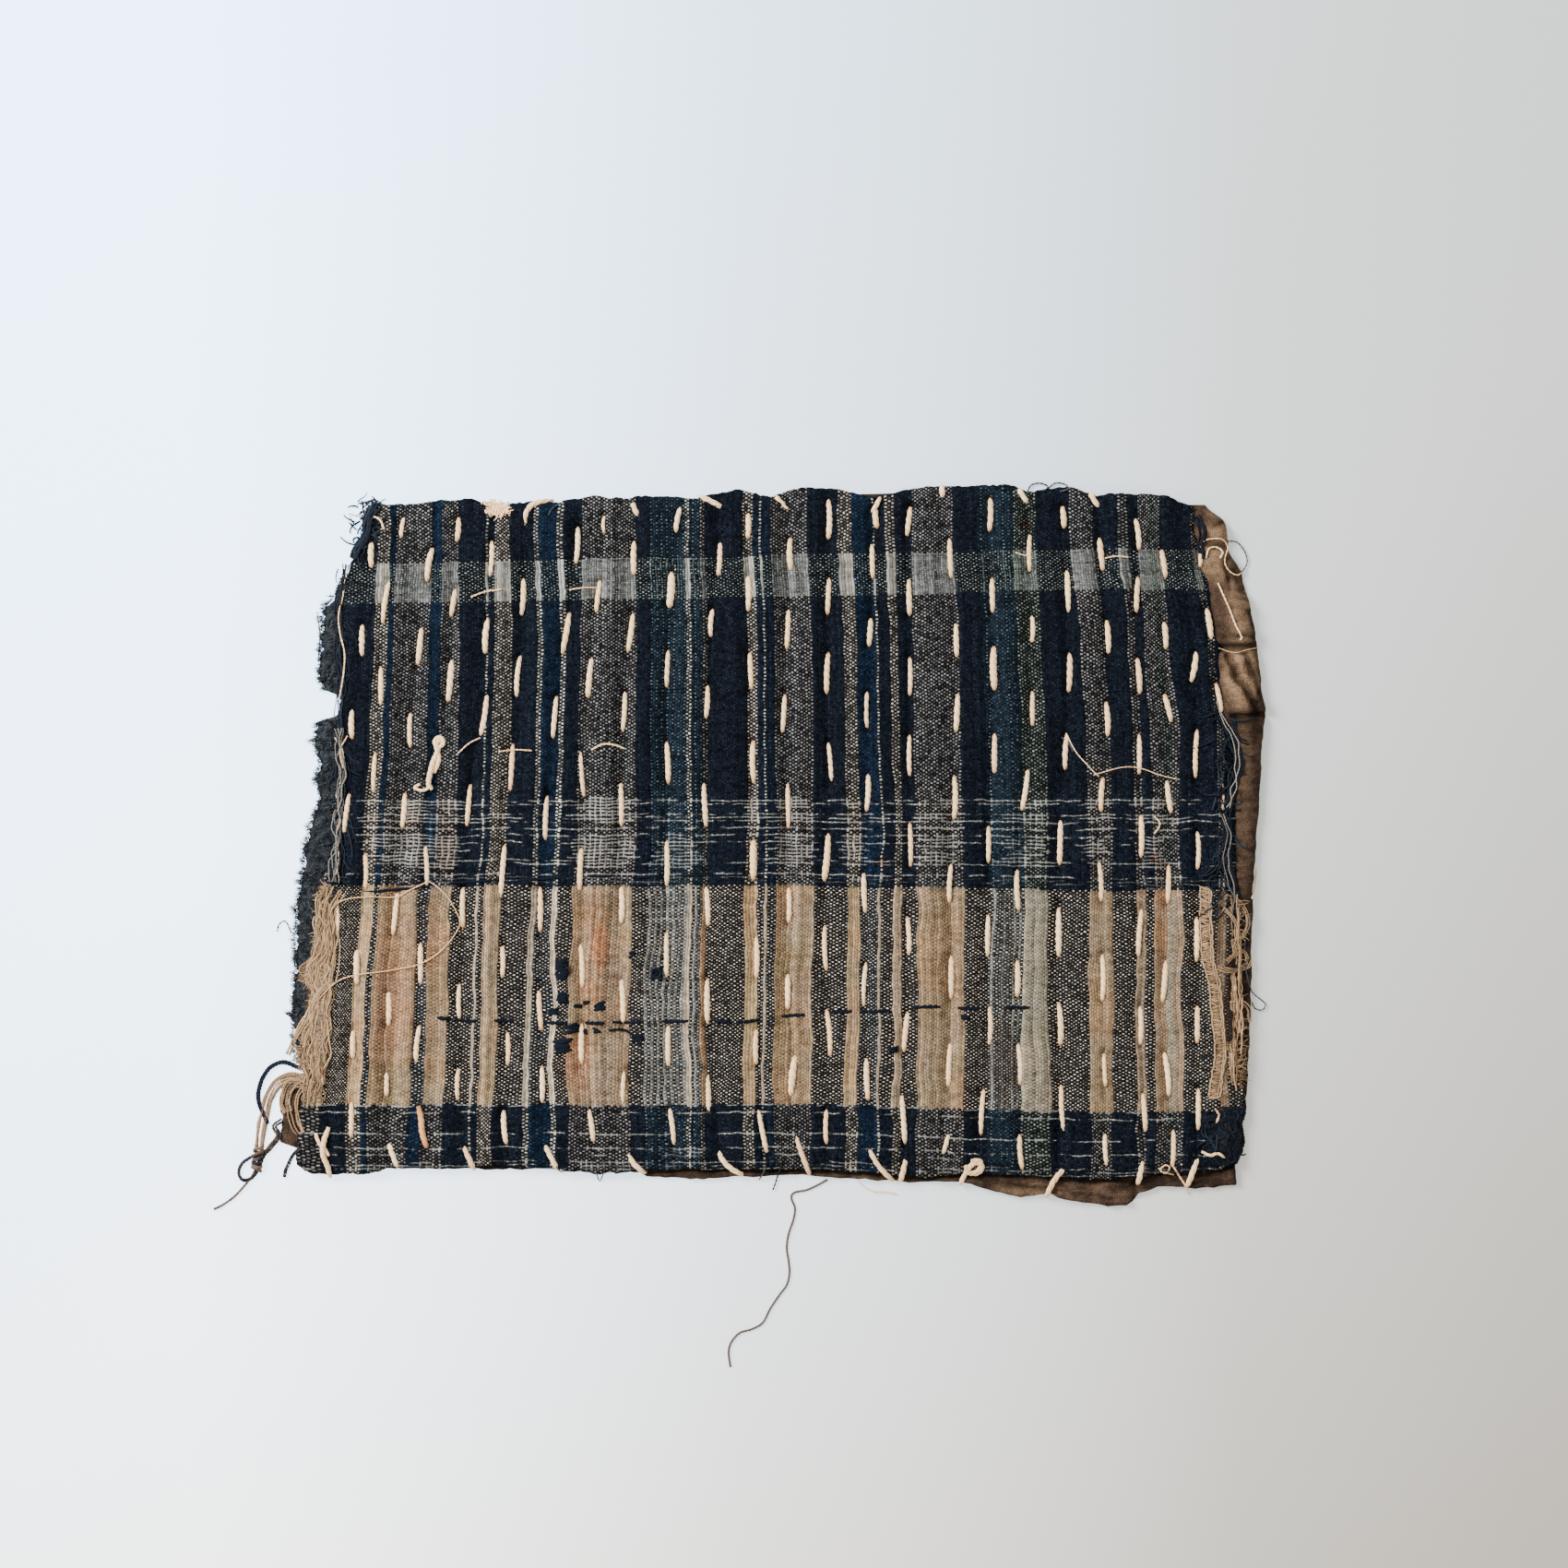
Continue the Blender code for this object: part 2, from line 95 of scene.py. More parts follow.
# Outlines. Top and bottom edges are rows of x, y; left and right edges are rows of y, x.
FACE_TOP = table("""
    398 552, 405 546, 440 547, 480 543, 510 541, 540 548, 580 543, 607 545, 640 538, 680 541, 700 537,
    757 540, 800 530, 835 540, 860 530, 900 529, 950 540, 990 529, 1060 526, 1095 526, 1112 533,
    1157 527, 1188 537, 1215 534, 1265 538, 1292 550""")
FACE_BOTTOM = table("""
    320 1261, 340 1273, 400 1272, 430 1265, 480 1266, 540 1264, 600 1267, 650 1272, 740 1267, 840 1267,
    900 1268, 1000 1276, 1040 1272, 1100 1273, 1180 1279, 1230 1277, 1260 1270, 1300 1272, 1341 1262""")
FACE_LEFT = table("""
    550 398, 590 388, 640 374, 700 371, 780 369, 840 367, 900 363, 960 352, 1000 343, 1055 333,
    1100 331, 1160 330, 1200 327, 1262 320""")
FACE_RIGHT = table("""
    550 1293, 600 1300, 640 1312, 700 1322, 780 1328, 800 1338, 960 1341, 990 1346, 1100 1349,
    1190 1349, 1215 1345, 1262 1341""")
DARK_LEFT = table("""
    552 406, 600 386, 625 376, 645 362, 660 352, 700 347, 735 346, 750 354, 757 368, 776 366, 783 345,
    800 341, 830 347, 845 342, 865 348, 895 336, 920 330, 965 325, 1000 321, 1055 320, 1100 317,
    1148 319, 1158 334, 1267 334""")
BACKING_TOP = table("398 556, 700 542, 1000 534, 1100 532, 1200 541, 1285 547, 1300 549, 1326 558")
BACKING_LEFT = table("""
    552 423, 600 404, 640 386, 700 366, 740 364, 757 385, 776 384, 800 362, 870 365, 900 353, 1000 340,
    1150 338, 1161 338, 1168 306, 1238 305, 1246 326, 1268 330""")
BACKING_RIGHT = table("""
    556 1326, 600 1332, 620 1345, 660 1356, 700 1362, 770 1371, 800 1369, 880 1364, 960 1358, 1100 1355,
    1200 1351, 1220 1346, 1260 1343, 1272 1326, 1285 1325""")
BACKING_BOTTOM = table("""
    305 1262, 400 1267, 690 1268, 700 1275, 750 1279, 860 1273, 940 1279, 1000 1282, 1040 1280,
    1080 1293, 1110 1298, 1135 1294, 1150 1300, 1180 1305, 1200 1308, 1226 1306, 1232 1293, 1260 1287,
    1315 1288, 1326 1285""")

# Stitch lines, left to right: x where each passes these heights
LINE_HEIGHTS = (560, 720, 900, 1080, 1250)
STITCH_LINES = table("""
    406 391 375 361 356, 436 415 401 386 381, 474 454 437 423 424, 498 489 465 456 463,
    535 527 508 500 505, 578 564 549 547 548, 630 610 592 586 597, 657 641 631 631 645,
    690 681 674 675 688, 736 725 724 724 732, 779 770 765 767 782, 811 814 817 820 832,
    856 852 854 856 868, 898 897 897 897 897, 949 942 939 938 944, 985 986 986 983 980,
    1026 1037 1032 1030 1022, 1072 1077 1072 1071 1062, 1113 1119 1106 1103 1106,
    1151 1158 1149 1148 1148, 1190 1201 1192 1195 1199, 1230 1233 1236 1235 1240,
    1256 1264 1266 1262 1271, 1279 1295 1297 1297 1298""")

# Stitches, line by line: x y to x y of each one's ends
STITCHES = table("""
    404 589 404 616, 394 678 394 712, 383 770 383 801, 380 860 374 904, 366 977 366 1015,
    423 630 416 677, 414 723 414 765, 408 816 406 860, 397 925 397 965, 388 1030 388 1067,
    384 1117 384 1147, 382 1194 382 1233,
    439 562 436 584, 470 595 464 631, 458 681 454 721, 446 773 446 811, 440 860 437 898, 432 967 427 1014,
    422 1075 422 1112, 420 1162 420 1188,
    498 562 496 588, 495 639 490 669, 491 716 487 761, 462 917 464 961, 457 1022 457 1067,
    456 1111 452 1152,
    534 587 532 626, 530 671 527 709, 529 753 522 799, 511 850 507 896, 503 962 503 1006, 499 1066 499 1105,
    498 1157 497 1193,
    568 627 566 668, 565 711 561 756, 557 807 554 858, 548 916 543 975, 545 1025 545 1060,
    551 1118 551 1155, 547 1203 550 1240,
    627 572 625 612, 618 665 610 710, 604 755 600 801, 594 862 592 911, 586 961 586 1011, 585 1073 588 1117,
    588 1155 588 1196,
    656 560 656 579, 651 630 647 665, 642 714 638 757, 630 812 634 865, 631 919 629 966, 630 1023 632 1071,
    631 1109 631 1154, 639 1202 644 1237,
    688 587 688 624, 687 665 681 708, 678 750 675 795, 673 848 674 897, 674 961 674 1001, 674 1061 676 1110,
    677 1160 675 1200,
    738 551 733 578, 728 621 726 659, 725 705 723 746, 723 804 725 850, 723 911 723 961, 723 1010 723 1060,
    725 1111 725 1156, 726 1200 731 1241,
    781 589 779 625, 773 661 771 691, 767 743 765 780, 763 848 766 897, 766 961 768 1004, 767 1061 767 1111,
    766 1159 768 1208,
    811 558 811 584, 811 625 811 663, 813 708 815 748, 817 803 818 850, 817 911 817 954, 820 1015 820 1061,
    820 1115 820 1154, 822 1201 832 1250,
    857 584 858 619, 855 661 853 705, 851 753 848 795, 854 848 855 899, 855 962 855 1001, 854 1056 854 1094,
    862 1144 857 1188,
    898 543 898 585, 899 627 897 667, 898 708 896 753, 898 805 902 848, 898 904 893 956, 894 1001 896 1053,
    896 1094 900 1145, 896 1202 896 1240,
    954 540 945 556, 949 552 951 573, 945 590 946 628, 944 671 942 701, 940 750 940 790, 941 840 939 880,
    936 946 938 990, 939 1043 936 1092, 939 1146 941 1192,
    987 550 983 582, 985 628 986 668, 986 713 986 755, 986 797 986 842, 986 892 987 940, 983 993 985 1036,
    984 1096 979 1141, 977 1185 981 1240,
    1029 584 1031 628, 1036 676 1037 713, 1038 753 1036 794, 1034 841 1034 889, 1031 936 1029 979,
    1031 1035 1031 1083, 1030 1130 1028 1178, 1028 1229 1022 1250,
    1073 541 1072 577, 1075 627 1076 665, 1077 701 1078 749, 1078 795 1078 839, 1071 895 1071 936,
    1071 991 1070 1038, 1072 1090 1072 1133, 1066 1180 1063 1230,
    1116 580 1116 621, 1118 668 1118 697, 1119 749 1119 788, 1114 834 1107 879, 1102 942 1104 988,
    1102 1040 1102 1081, 1103 1131 1105 1176, 1105 1229 1108 1267,
    1151 550 1153 573, 1156 619 1158 665, 1159 708 1158 751, 1156 796 1154 835, 1149 889 1148 938,
    1147 983 1147 1038, 1147 1086 1149 1133, 1150 1175 1153 1227,
    1191 584 1195 619, 1199 673 1201 709, 1198 761 1200 799, 1195 843 1193 880, 1190 933 1193 978,
    1194 1034 1194 1086, 1196 1141 1198 1178, 1197 1228 1199 1263,
    1230 563 1234 597, 1233 626 1231 665, 1232 714 1235 753, 1234 796 1234 840, 1236 884 1236 930,
    1237 985 1233 1038, 1235 1090 1235 1133, 1238 1184 1241 1227,
    1258 597 1263 627, 1261 675 1263 704, 1261 753 1269 783, 1264 846 1269 882, 1266 938 1265 980,
    1263 1040 1259 1087, 1261 1140 1266 1188, 1271 1224 1270 1264,
    1300 599 1300 615, 1307 660 1312 694, 1296 707 1290 740, 1317 741 1323 775, 1297 791 1295 844,
    1321 826 1324 855, 1325 861 1325 880, 1297 901 1297 943, 1326 941 1323 987, 1296 994 1296 1043,
    1336 1055 1336 1088, 1297 1090 1297 1131, 1333 1132 1333 1166, 1320 1138 1320 1178, 1298 1179 1298 1225,
    1319 1208 1319 1227""")

# Stitches thicker or thinner than the rest: x and y of the upper end, and the width against a usual one
UNUSUAL_STITCHES = {(728, 621): 1.45, (1077, 701): 1.35, (656, 560): 0.7, (1116, 668): 0.8,
                    (773, 661): 0.85, (954, 540): 0.8, (862, 1144): 1.2, (898, 904): 1.2, (817, 911): 1.25,
                    (1300, 599): 0.7, (1325, 861): 0.7, (1319, 1208): 0.7, (491, 716): 1.1,
                    (1102, 1040): 1.15, (1147, 983): 1.15, (446, 773): 0.85, (439, 562): 0.8,
                    (1028, 1229): 0.8}

# Whip stitches over the top and bottom edges: from the inner end to the end over the edge
WHIP_STITCHES = table("""
    570 578 600 543 14, 692 560 685 545 0, 784 551 758 538 0, 855 555 840 538 0, 1113 546 1103 531 0,
    1190 551 1180 535 0, 422 1238 433 1266 0, 503 1240 515 1267 0, 590 1238 606 1268 0,
    679 1241 700 1271 -4, 777 1243 806 1273 -5, 860 1225 878 1273 0, 941 1242 968 1279 -3,
    982 1255 976 1280 0, 1155 1264 1134 1297 -3, 1238 1255 1233 1283 0, 1298 1252 1286 1286 0,
    1021 540 1021 527 0""")

# Navy mending stitches: spans of x along two rows, with the row's height at some x
UPPER_MEND = (table("355 970, 500 957, 620 950, 1130 950"),
              "395-470 480-548 556-622 634-668 688-722 735-768")
LOWER_MEND = (
    table("""
        475 1102, 520 1106, 560 1106, 600 1107, 680 1108, 735 1106, 810 1106, 860 1099, 950 1095,
        1005 1091, 1100 1092"""),
    "475-490 492-520 535-560 589-618 634-658 661-702 715-750 773-794 797-826 845-875 900-925 930-968 "
    "985-1022 1036-1062 1085-1118",
)

# The long loose thread, as in part.py
THREAD_ROUTE = table("""
    897 1279, 888 1284, 875 1290, 861 1293, 858 1299, 862 1310, 860 1323, 855 1338, 853 1353, 855 1367,
    856 1380, 853 1393, 845 1404, 835 1419, 827 1434, 815 1441, 802 1445, 793 1455, 790 1466, 792 1482""")
THREAD_DIAMETER = 0.0007


def spot(px, py, z=0.0):
    """Metres under pixels of the photograph; takes numbers or arrays."""
    px, py, z = np.broadcast_arrays(np.asarray(px, float), np.asarray(py, float), np.asarray(z, float))
    return np.stack([(px - ORIGIN_X) * PX, (ORIGIN_Y - py) * PX, z], axis=-1)


def read(rows, at):
    """The second column of a two-column table where the first column is at."""
    keys, values = zip(*rows)
    return np.interp(at, keys, values)


def smooth(share):
    """A soft step from 0 to 1."""
    share = np.clip(share, 0.0, 1.0)
    return share * share * (3.0 - 2.0 * share)


def wander(x, y, pitch, seed):
    """Slow unevenness between -1 and 1 with bumps about pitch apart, over arrays."""
    size = 64
    grid = np.random.default_rng(seed).uniform(-1.0, 1.0, (size, size))
    gx, gy = np.asarray(x, float) / pitch, np.asarray(y, float) / pitch
    ix, iy = np.floor(gx).astype(int), np.floor(gy).astype(int)
    fx, fy = smooth(gx - ix), smooth(gy - iy)
    a, b = grid[ix % size, iy % size], grid[(ix + 1) % size, iy % size]
    c, d = grid[ix % size, (iy + 1) % size], grid[(ix + 1) % size, (iy + 1) % size]
    return (a * (1 - fx) + b * fx) * (1 - fy) + (c * (1 - fx) + d * fx) * fy


def spans(text):
    """Spans written as low-high, parted by spaces."""
    return [tuple(float(number) for number in part.split("-")) for part in text.split()]


def line_x(heights_x, py):
    """Where a stitch line passes the height py."""
    return np.interp(py, LINE_HEIGHTS, heights_x)


def running_stitches():
    """Every stitch along the lines: x and y of its two ends, and its width against the usual one."""
    random = np.random.default_rng(5)
    rows = []
    for x0, y0, x1, y1 in STITCHES:
        wide = random.uniform(0.88, 1.10) * UNUSUAL_STITCHES.get((x0, y0), 1.0)
        rows.append((x0, y0, x1, y1, wide))
    return rows


def link_or_set(tree, value, socket):
    """Feed a socket from a node's value, or set its own number or colour."""
    if isinstance(value, Value):
        tree.links.new(value.socket, socket)
    else:
        socket.default_value = value


def srgb(red, green, blue):
    """A colour given as seen on screen, 0 to 255, in the shader's linear numbers."""
    shares = [c / 255 for c in (red, green, blue)]
    return tuple(c / 12.92 if c < 0.0405 else ((c + 0.055) / 1.055) ** 2.4 for c in shares) + (1.0,)


class Value:
    """What a node puts out. A sum, product, power or comparison with it adds a Math node."""

    def __init__(self, shade, socket):
        self.shade, self.socket = shade, socket

    def __add__(self, other):
        return self.shade.math("ADD", self, other)

    def __sub__(self, other):
        return self.shade.math("SUBTRACT", self, other)

    def __rsub__(self, other):
        return self.shade.math("SUBTRACT", other, self)

    def __mul__(self, other):
        return self.shade.math("MULTIPLY", self, other)

    def __truediv__(self, other):
        return self.shade.math("DIVIDE", self, other)

    def __pow__(self, other):
        return self.shade.math("POWER", self, other)

    def __mod__(self, other):
        return self.shade.math("MODULO", self, other)

    def __gt__(self, other):
        return self.shade.math("GREATER_THAN", self, other)

    def __abs__(self):
        return self.shade.math("ABSOLUTE", self)


class Shade:
    """A material under construction, with short names for its nodes."""

    def __init__(self, name, roughness, specular):
        self.material = bpy.data.materials.new(name)
        self.material.use_nodes = True
        self.tree = self.material.node_tree
        self.shader = self.tree.nodes["Principled BSDF"]
        self.shader.inputs["Roughness"].default_value = roughness
        self.shader.inputs["Specular IOR Level"].default_value = specular

    def node(self, kind, inputs=(), output=0, **settings):
        """What a new node of this kind puts out."""
        made = self.tree.nodes.new(kind)
        for key, value in settings.items():
            setattr(made, key, value)
        for key, value in dict(inputs).items():
            link_or_set(self.tree, value, made.inputs[key])
        return Value(self, made.outputs[output])

    def math(self, operation, a, b=0.0, c=0.0, clamp=False):
        return self.node("ShaderNodeMath", {0: a, 1: b, 2: c}, operation=operation, use_clamp=clamp)

    def linear(self, value, times, plus, clamp=False):
        """A value times a number, plus a number."""
        return self.math("MULTIPLY_ADD", value, times, plus, clamp)

    def step(self, value, low, high):
        """0 below low, 1 above high, soft between."""
        inputs = {"Value": value, "From Min": low, "From Max": high}
        return self.node("ShaderNodeMapRange", inputs, "Result", interpolation_type="SMOOTHSTEP")

    def mix(self, factor, a, b, blend="MIX"):
        """Colour b over colour a by a factor."""
        return self.node("ShaderNodeMix", {0: factor, 6: a, 7: b}, 2, data_type="RGBA", blend_type=blend)

    def scale(self, colour, amount):
        """A colour times a number."""
        return self.node("ShaderNodeVectorMath", {0: colour, "Scale": amount}, operation="SCALE")

    def vector(self, x, y, z=0.0):
        return self.node("ShaderNodeCombineXYZ", {"X": x, "Y": y, "Z": z})

    def split(self, vector):
        """The x, y and z of a vector."""
        made = self.node("ShaderNodeSeparateXYZ", {"Vector": vector}).socket.node
        return [Value(self, socket) for socket in made.outputs]

    def noise(self, vector, scale=1.0, detail=2.0, roughness=0.5):
        inputs = {"Vector": vector, "Scale": scale, "Detail": detail, "Roughness": roughness}
        return self.node("ShaderNodeTexNoise", inputs, "Fac")

    def random(self, number):
        """A number between 0 and 1 that is the same for the same thread."""
        return self.node("ShaderNodeTexWhiteNoise", {"W": number}, "Value", noise_dimensions="1D")

    def random_crossing(self, warp, weft):
        """A number between 0 and 1 that is the same for the same warp and weft thread."""
        inputs = {"Vector": self.vector(warp, weft)}
        return self.node("ShaderNodeTexWhiteNoise", inputs, "Value", noise_dimensions="2D")

    def attribute(self, name, output="Fac"):
        return self.node("ShaderNodeAttribute", (), output, attribute_name=name)

    def ramp(self, factor, stops, interpolation="LINEAR"):
        """Colour and alpha of a ramp with stops of position and colour."""
        made = self.node("ShaderNodeValToRGB", {"Fac": factor}).socket.node
        made.color_ramp.interpolation = interpolation
        elements = made.color_ramp.elements
        while len(elements) < len(stops):
            elements.new(1.0)
        for element, (position, colour) in zip(elements, stops):
            element.position = position
            element.color = colour
        return Value(self, made.outputs["Color"]), Value(self, made.outputs["Alpha"])

    def position(self):
        return self.node("ShaderNodeTexCoord", (), "Object")

    def bump(self, height, distance, strength):
        return self.node("ShaderNodeBump", {"Height": height, "Distance": distance, "Strength": strength},
                         "Normal")

    def finish(self, colour, normal=None):
        """The material, with its colour and normal linked."""
        link_or_set(self.tree, colour, self.shader.inputs["Base Color"])
        if normal is not None:
            link_or_set(self.tree, normal, self.shader.inputs["Normal"])
        return self.material


# Warp: where each stripe starts, in pixels across at the height 800, its yarn, and how much the tan band
# tans it; 1 stands for a stripe with pale threads among its own
INK = srgb(17, 21, 29)
NAVY = srgb(15, 22, 33)
BLUE = srgb(15, 28, 43)
TEAL = srgb(24, 35, 45)
PALE = srgb(95, 93, 91)
CREAM = srgb(126, 120, 110)
GREY = srgb(83, 81, 79)
WHITE = srgb(138, 137, 130)
GREEN = srgb(79, 85, 78)
WARP = [(330, GREY, 0.6), (358, INK, 0), (372, INK, 0), (403, CREAM, 0.6), (415, BLUE, 0),
        (424, GREY, 0.6), (438, PALE, 0.6), (466, BLUE, 0), (477, PALE, 0.6), (498, INK, 0),
        (523.5, WHITE, 0.35), (527, NAVY, 0), (535, CREAM, 0.5), (553, INK, 0), (583, WHITE, 0.35),
        (586, BLUE, 0), (607, WHITE, 0.35), (611, INK, 0), (627, PALE, 0.6), (662, GREY, 0.5),
        (678, PALE, 0.6), (690, INK, 0), (703, TEAL, 1), (743, WHITE, 0.35), (749, TEAL, 1),
        (761, GREY, 0.6), (767, INK, 0), (808, CREAM, 0.6), (822, NAVY, 0), (829, WHITE, 0.35),
        (832, NAVY, 0), (838, GREY, 0.7), (854, PALE, 0.6), (881, INK, 0), (914, CREAM, 0.6),
        (928, BLUE, 0), (951, WHITE, 0.35), (954, INK, 0), (965, CREAM, 0.4), (975, INK, 0),
        (990, PALE, 0.6), (1040, INK, 0), (1067, TEAL, 1), (1108, GREEN, 0.25), (1132, INK, 0),
        (1175, PALE, 0.6), (1203, INK, 0), (1226, PALE, 0.5), (1236, INK, 0), (1244, PALE, 0.6),
        (1260, GREEN, 0.25), (1268, PALE, 0.5), (1277, INK, 0), (1315, PALE, 0.5), (1325, NAVY, 0),
        (1342, INK, 0)]
WARP_SPLITS = (330, 690, 1040, 1370)
PIN = srgb(60, 71, 75)
THREAD_ACROSS = 3.00
THREAD_DOWN = 1.92

# Where the stripes run: x at the height 800, then x at each of these heights
STRIPE_HEIGHTS = (575, 700, 800, 900, 990, 1080, 1160, 1225)
STRIPE_PLACES = table("""
    330 340 330 322 318 312 306 302 300, 358 362 357 358 361 366 361 355 350,
    403 412 408 403 396 393 384 379 376, 470 475 472 470 465 459 455 452 448,
    498 498 500 498 497 490 488 485 480, 535 538 538 535 533 525 523 521 519,
    553 552 555 553 548 541 538 536 532, 585 582 587 585 582 578 575 572 571,
    609 608 612 609 605 601 602 599 600, 627 632 630 627 627 620 617 615 618,
    690 690 691 690 691 686 682 680 683, 746 744 747 746 748 746 744 745 747,
    767 763 767 767 767 765 764 765 765, 808 803 809 808 808 805 806 803 804,
    822 816 822 822 823 822 822 820 818, 838 833 838 838 841 840 838 837 837,
    881 874 880 881 881 881 879 878 878, 914 906 913 914 917 918 917 915 915,
    951 945 950 951 956 951 951 950 950, 965 957 963 965 970 967 966 966 965,
    990 988 989 990 992 994 995 993 993, 1040 1031 1039 1040 1042 1045 1044 1044 1044,
    1108 1098 1103 1108 1110 1112 1109 1108 1108, 1132 1120 1126 1132 1134 1133 1132 1136 1136,
    1175 1157 1169 1175 1178 1179 1179 1180 1180, 1203 1184 1197 1203 1205 1206 1206 1205 1205,
    1226 1208 1220 1226 1229 1230 1230 1230 1230, 1244 1232 1238 1244 1248 1251 1250 1250 1250,
    1277 1255 1266 1277 1276 1281 1279 1281 1281, 1315 1288 1306 1315 1317 1318 1312 1318 1318,
    1345 1310 1334 1345 1347 1350 1350 1350 1350""")

# Weft: where each band starts, its yarn, how far it tans pale warp, and how densely white flecks lie in it
WEFT = [(500, srgb(15, 19, 27), 0.0, 0.0), (598, srgb(114, 122, 116), 0.0, 0.0),
        (643, srgb(15, 19, 27), 0.0, 0.0), (857, srgb(17, 23, 34), 0.2, 1.0),
        (948, srgb(14, 20, 31), 0.0, 0.3), (957, srgb(200, 184, 161), 1.0, 0.0),
        (1196, srgb(14, 19, 28), 0.1, 1.0), (1248, srgb(14, 18, 26), 0.1, 0.7)]
WEFT_START, WEFT_END = 500, 1300
FLECK = srgb(156, 156, 150)
TAN_TINT = (1.02, 0.71, 0.46, 1.0)
KHAKI_TINT = (0.92, 0.73, 0.47, 1.0)
RUST_TINT = (1.12, 0.66, 0.50, 1.0)
# Where the weave is gone: the dark cloth beneath, darkened further as painted shade in the hole
EXPOSED_AND_SHADED = srgb(40, 30, 26)


def check_cloth_material():
    """Plain weave: each thread takes its colour from the stripe or band it lies in."""
    s = Shade("handwoven check", roughness=0.95, specular=0.03)
    u, v, _ = s.split(s.attribute("weave", "Vector"))
    worn = s.attribute("worn")
    rust = s.attribute("rust")
    bare = s.attribute("bare")
    coarse = s.vector(u * 0.05, v * 0.05)
    elsewhere = s.vector(s.linear(u, 0.06, 31.0), s.linear(v, 0.06, 17.0))
    sway = (s.noise(coarse, 1.0, 5.0, 0.6) - 0.5) * 6.5
    lag = (s.noise(elsewhere, 1.0, 5.0, 0.6) - 0.5) * 6.5
    across = (u + sway) / THREAD_ACROSS
    down = (v + lag) / THREAD_DOWN
    warp_number, weft_number = s.math("FLOOR", across), s.math("FLOOR", down)
    warp_random, weft_random = s.random(warp_number), s.random(weft_number + 0.37)
    crossing = s.random_crossing(warp_number, weft_number)
    # How far from the middle of its warp and weft thread a point lies: 0 in the middle, 1 at the side
    beside = abs(s.linear(s.math("FRACT", across), 2.0, -1.0))
    above = abs(s.linear(s.math("FRACT", down), 2.0, -1.0))

    # The warp's colour, with pale threads among the teal ones
    middle_u = (warp_number + 0.5) * THREAD_ACROSS
    warp, kind = None, None
    for low, high in zip(WARP_SPLITS, WARP_SPLITS[1:]):
        rows = [row for row in WARP if low <= row[0] < high]
        stops = [((x - low) / (high - low), (*colour[:3], tan)) for x, colour, tan in rows]
        part, mark = s.ramp((middle_u - low) / (high - low), stops, "CONSTANT")
        if warp is None:
            warp, kind = part, mark
            continue
        beyond = middle_u > low
        warp = s.mix(beyond, warp, part)
        kind = mark * beyond + kind * (1.0 - beyond)
    pinned = kind > 0.9
    tanned = kind * (1.0 - pinned)
    every_other = abs(warp_number) % 2.0
    pin_line = every_other * pinned * s.linear(warp_random, 0.7, 0.25)
    warp = s.mix(pin_line, warp, PIN)
    streak = s.noise(s.vector(warp_number * 3.71, v * 0.016), 1.0, 3.0)
    warp = s.scale(warp, streak * 1.1 + s.linear(warp_random, 0.55, 0.18))

    # The weft's colour, and the undyed flecks that show in some of its threads
    middle_v = (weft_number + 0.5) * THREAD_DOWN
    factor = (middle_v - WEFT_START) / (WEFT_END - WEFT_START)
    ends = [(y - WEFT_START) / (WEFT_END - WEFT_START) for y, *_ in WEFT]
    weft, flecked = s.ramp(factor, [(end, (*row[1][:3], row[3])) for end, row in zip(ends, WEFT)],
                           "CONSTANT")
    tan, _ = s.ramp(factor, [(end, (row[2], row[2], row[2], 1.0)) for end, row in zip(ends, WEFT)],
                    "CONSTANT")
    pale_thread = weft_random > s.linear(worn, -0.34, 0.46)
    pale_thread = pale_thread * (abs(weft_number) % 2.0)
    dash = s.noise(s.vector(u * 0.034, weft_number * 0.83), 1.0, 3.0, 0.6)
    dash = s.step(dash, s.linear(worn, -0.14, 0.47), s.linear(worn, -0.08, 0.56))
    fleck = dash * pale_thread * flecked
    weft = s.mix(fleck, weft, FLECK)
    weft_streak = s.noise(s.vector(u * 0.014, weft_number * 2.93), 1.0, 3.0)
    weft = s.scale(weft, weft_streak + s.linear(weft_random, 0.4, 0.3))

    # Which thread lies on top here, as a rounded grain with painted shade in the gap round it
    warp_light = s.node("ShaderNodeRGBToBW", {"Color": warp})
    weft_light = s.node("ShaderNodeRGBToBW", {"Color": weft})
    both = s.linear(warp_light * weft_light, 40.0, -0.35, clamp=True)
    warp_over = abs(warp_number + weft_number) % 2.0
    grain_warp = (beside / 0.86) ** 2.0 + (above / 1.12) ** 2.0
    grain_weft = (beside / 0.75) ** 2.0 + (above / 0.59) ** 2.0
    warp_grain = 1.0 - s.step(grain_warp, 0.35, 1.2)
    weft_grain = 1.0 - s.step(grain_weft, 0.15, 1.1)
    dark = 1.0 - s.step(s.math("MAXIMUM", warp_light, weft_light), 0.018, 0.045)
    fill = s.math("MAXIMUM", both * 0.95, s.linear(dark, 0.55, 0.05))
    painted_gap_shade = s.scale(s.mix(0.35, warp, weft), fill)
    spread = s.linear(both, -1.2, 1.75)
    uneven = s.linear(crossing, spread, s.linear(spread, -0.5, 1.0))
    over_warp = s.mix(warp_grain, painted_gap_shade, s.scale(warp, uneven))
    beneath = s.mix(both * 0.72, weft, warp)
    over_weft = s.mix(weft_grain, painted_gap_shade, s.scale(beneath, uneven))
    colour = s.mix(warp_over, over_weft, over_warp)
    run = fleck * (0.3 - s.step(above, 0.4, 0.95) * 0.3)
    colour = s.mix(run, colour, FLECK)
    # Painted shade in the furrows between warp threads where both threads are light
    furrow_shade = s.step(beside, 0.45, 1.0) * (both * 0.5)
    colour = s.scale(colour, 1.0 - furrow_shade)

